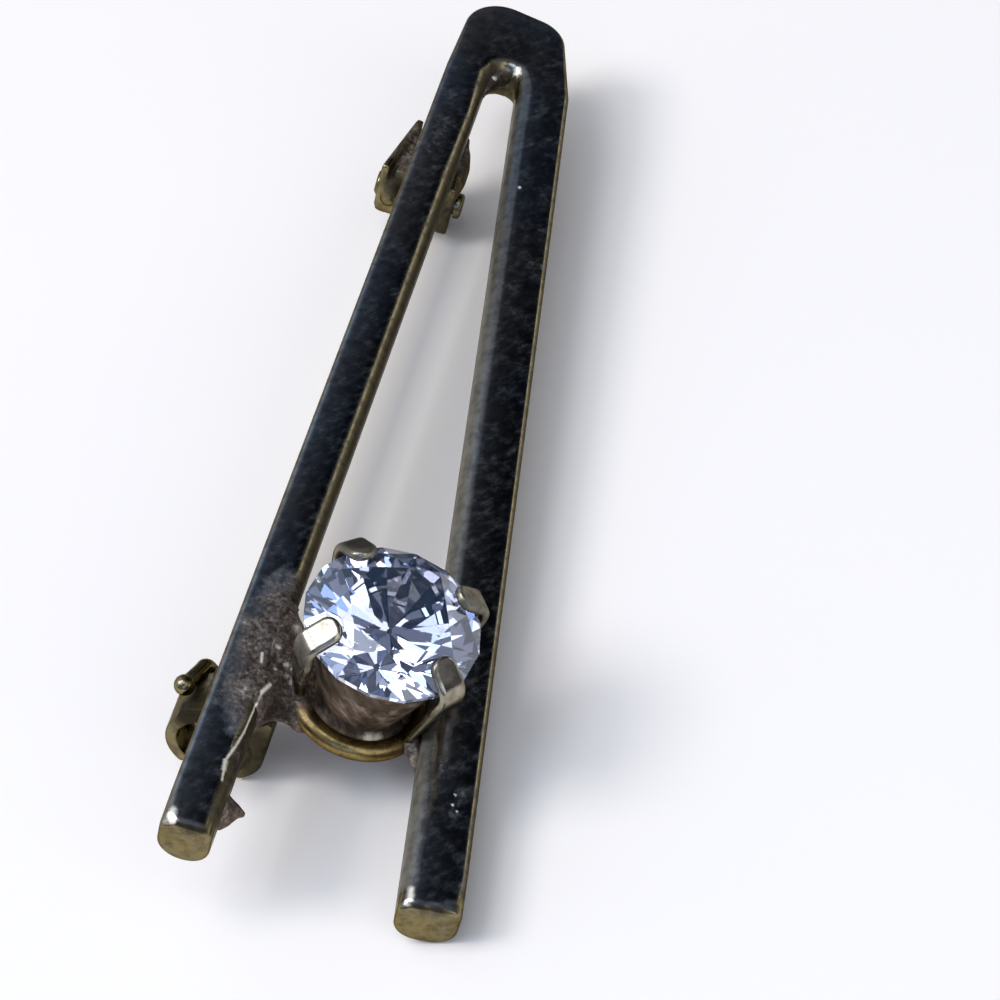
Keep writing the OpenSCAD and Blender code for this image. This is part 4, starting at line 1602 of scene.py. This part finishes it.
@dataclass
class Studio:
    """The floor, the lights and the camera."""

    focal_px: float = 2950.0
    image_px: float = 1000.0
    sensor_mm: float = 36.0
    eye: Triple = (6.88, -50.12, 80.52)
    look: Triple = (-0.0045, 0.639, -0.7692)
    up: Triple = (-0.2968, 0.7337, 0.6112)
    floor_mm: float = 2400.0
    clip_m: Pair = (0.005, 10.0)
    around: str = "#82889a"
    walls: tuple[Wall, ...] = (
        Wall((-0.85, 0.1, 0.45), 34, 48, "#d2dcf0"),
        Wall((0.95, -0.2, 0.3), 14, 26, "#62606c"),
        Wall((0.42, 0.64, 0.64), 4, 34, "#0f121a"),
        Wall((-0.1, 0.98, 0.1), 16, 30, "#50505a"),
    )
    lights: tuple[Softbox, ...] = (
        Softbox("key", (-0.62, -0.2, 0.75), 420, (150, 150), 0.7, "#f4f6ff"),
        Softbox("top", (-0.28, -0.06, 0.96), 420, (150, 150), 0.36, "#f4f6ff"),
        Softbox("panel_low", (-0.32, -0.43, 0.84), 420, (160, 160), 0.24, "#bcd6ff"),
        Softbox("panel_high", (0.12, -0.25, 0.96), 420, (150, 150), 0.2, "#e2eeff"),
        Softbox("panel_blue", (0.23, -0.87, 0.44), 420, (220, 140), 0.16, "#8fb6ff"),
        Softbox("panel_side", (0.55, -0.3, 0.78), 420, (130, 130), 0.1, "#d6e8ff"),
        Softbox("window", (0.7, 0.7, 0.2), 460, (200, 130), 0.15, "#f0f4ff"),
        Softbox("fill", (0.78, -0.5, 0.38), 420, (260, 260), 0.4, "#eef4ff"),
    )

    def camera(self) -> None:
        """Sets the camera at the photograph's angle."""
        data = bpy.data.cameras.new("camera")
        data.sensor_width = self.sensor_mm
        data.lens = self.focal_px * self.sensor_mm / self.image_px
        data.clip_start, data.clip_end = self.clip_m
        turn = PLACE.to_3x3().normalized()
        back = -(turn @ Vector(self.look)).normalized()
        up = turn @ Vector(self.up)
        right = up.cross(back).normalized()
        up = back.cross(right)
        camera = bpy.data.objects.new("camera", data)
        camera.matrix_world = Matrix.Translation(PLACE @ Vector(self.eye)) @ Matrix(
            (right, up, back)).transposed().to_4x4()
        bpy.context.scene.collection.objects.link(camera)
        bpy.context.scene.camera = camera

    def floor(self) -> None:
        """Lays the pale floor under the brooch."""
        half = self.floor_mm * MM / 2
        mesh = bpy.data.meshes.new("floor")
        corners = [(x * half, y * half, 0) for x, y in ((-1, -1), (1, -1), (1, 1), (-1, 1))]
        mesh.from_pydata(corners, [], [(0, 1, 2, 3)])
        mesh.materials.append(PaintedFloor().material())
        obj = bpy.data.objects.new("floor", mesh)
        bpy.context.scene.collection.objects.link(obj)

    def hang(self, box: Softbox) -> None:
        """Hangs a soft light."""
        data = bpy.data.lights.new(box.name, "AREA")
        data.shape = "RECTANGLE"
        data.size, data.size_y = box.size_mm[0] * MM, box.size_mm[1] * MM
        data.energy = box.watts
        data.color = linear(box.tint)[:3]
        light = bpy.data.objects.new(box.name, data)
        way = Vector(box.towards).normalized()
        light.location = way * box.away_mm * MM
        light.rotation_mode = "QUATERNION"
        light.rotation_quaternion = way.to_track_quat("Z", "Y")
        bpy.context.scene.collection.objects.link(light)

    def sky(self) -> None:
        """Surrounds the brooch with a grey studio and its darker walls."""
        world = bpy.data.worlds.new("studio")
        world.use_nodes = True
        world.node_tree.nodes.clear()
        add = partial(node, world.node_tree)
        place = add("ShaderNodeTexCoord", out="Generated")
        colour: Value = linear(self.around)
        for wall in self.walls:
            way = Vector(wall.towards).normalized()
            facing = add(VECTOR_MATH, (place, way), "Value", operation="DOT_PRODUCT")
            outer, inner = math.cos(math.radians(wall.outer)), math.cos(math.radians(wall.inner))
            share = add(RANGE, (facing, outer, inner))
            colour = add(MIX, {0: share, 6: colour, 7: linear(wall.tint)}, 2, data_type="RGBA")
        back = add("ShaderNodeBackground", {"Color": colour, "Strength": 1.0})
        add("ShaderNodeOutputWorld", {"Surface": back})
        bpy.context.scene.world = world

    def build(self) -> None:
        """Sets up the whole studio."""
        bpy.context.scene.view_settings.view_transform = "Standard"
        self.camera()
        self.floor()
        self.sky()
        for box in self.lights:
            self.hang(box)


def main() -> None:
    """Builds and dresses the brooch, and sets up its studio."""
    logging.basicConfig(level=logging.INFO, format="%(name)s: %(message)s")
    Studio().build()
    plate = PlatedBrass("polished_gold_tone_plate").material()
    satin = PlatedBrass("satin_gold_tone_plate", plate="#93804f", dulled="#7d6240", smooth=0.27,
                        cloudy=0.4).material()
    bright = PlatedBrass("bright_gold_tone_plate", plate="#a79f8c", dulled="#958f7f", cloudy=0.26).material()
    tarnished = PlatedBrass("tarnished_gold_tone_plate", plate="#857365", dulled="#6f6259", smooth=0.24,
                            cloudy=0.42, cloud_mm=0.45, always_stained=0.7).material()
    burnt = PlatedBrass("burnt_gold_tone_plate", tarnish=("#3f3028", "#6b5748", "#947f6e", "#c4b2a2"),
                        smooth=0.26, cloudy=0.3, speck_mm=0.45, speck_stretch=(1, 1, 0.2),
                        hair_deep_mm=0.0, always_stained=0.9).material()
    wire = DrawnWire().material()
    stone = CutZirconia().material()
    setting = Setting()
    BentBar().build(plate)
    setting.build(satin, bright, burnt)
    SolderWork().build(tarnished)
    RoundBrilliant().build(stone, setting)
    PinHinge().build(plate, wire)
    SafetyCatch().build(plate)


if __name__ == "__main__":
    main()
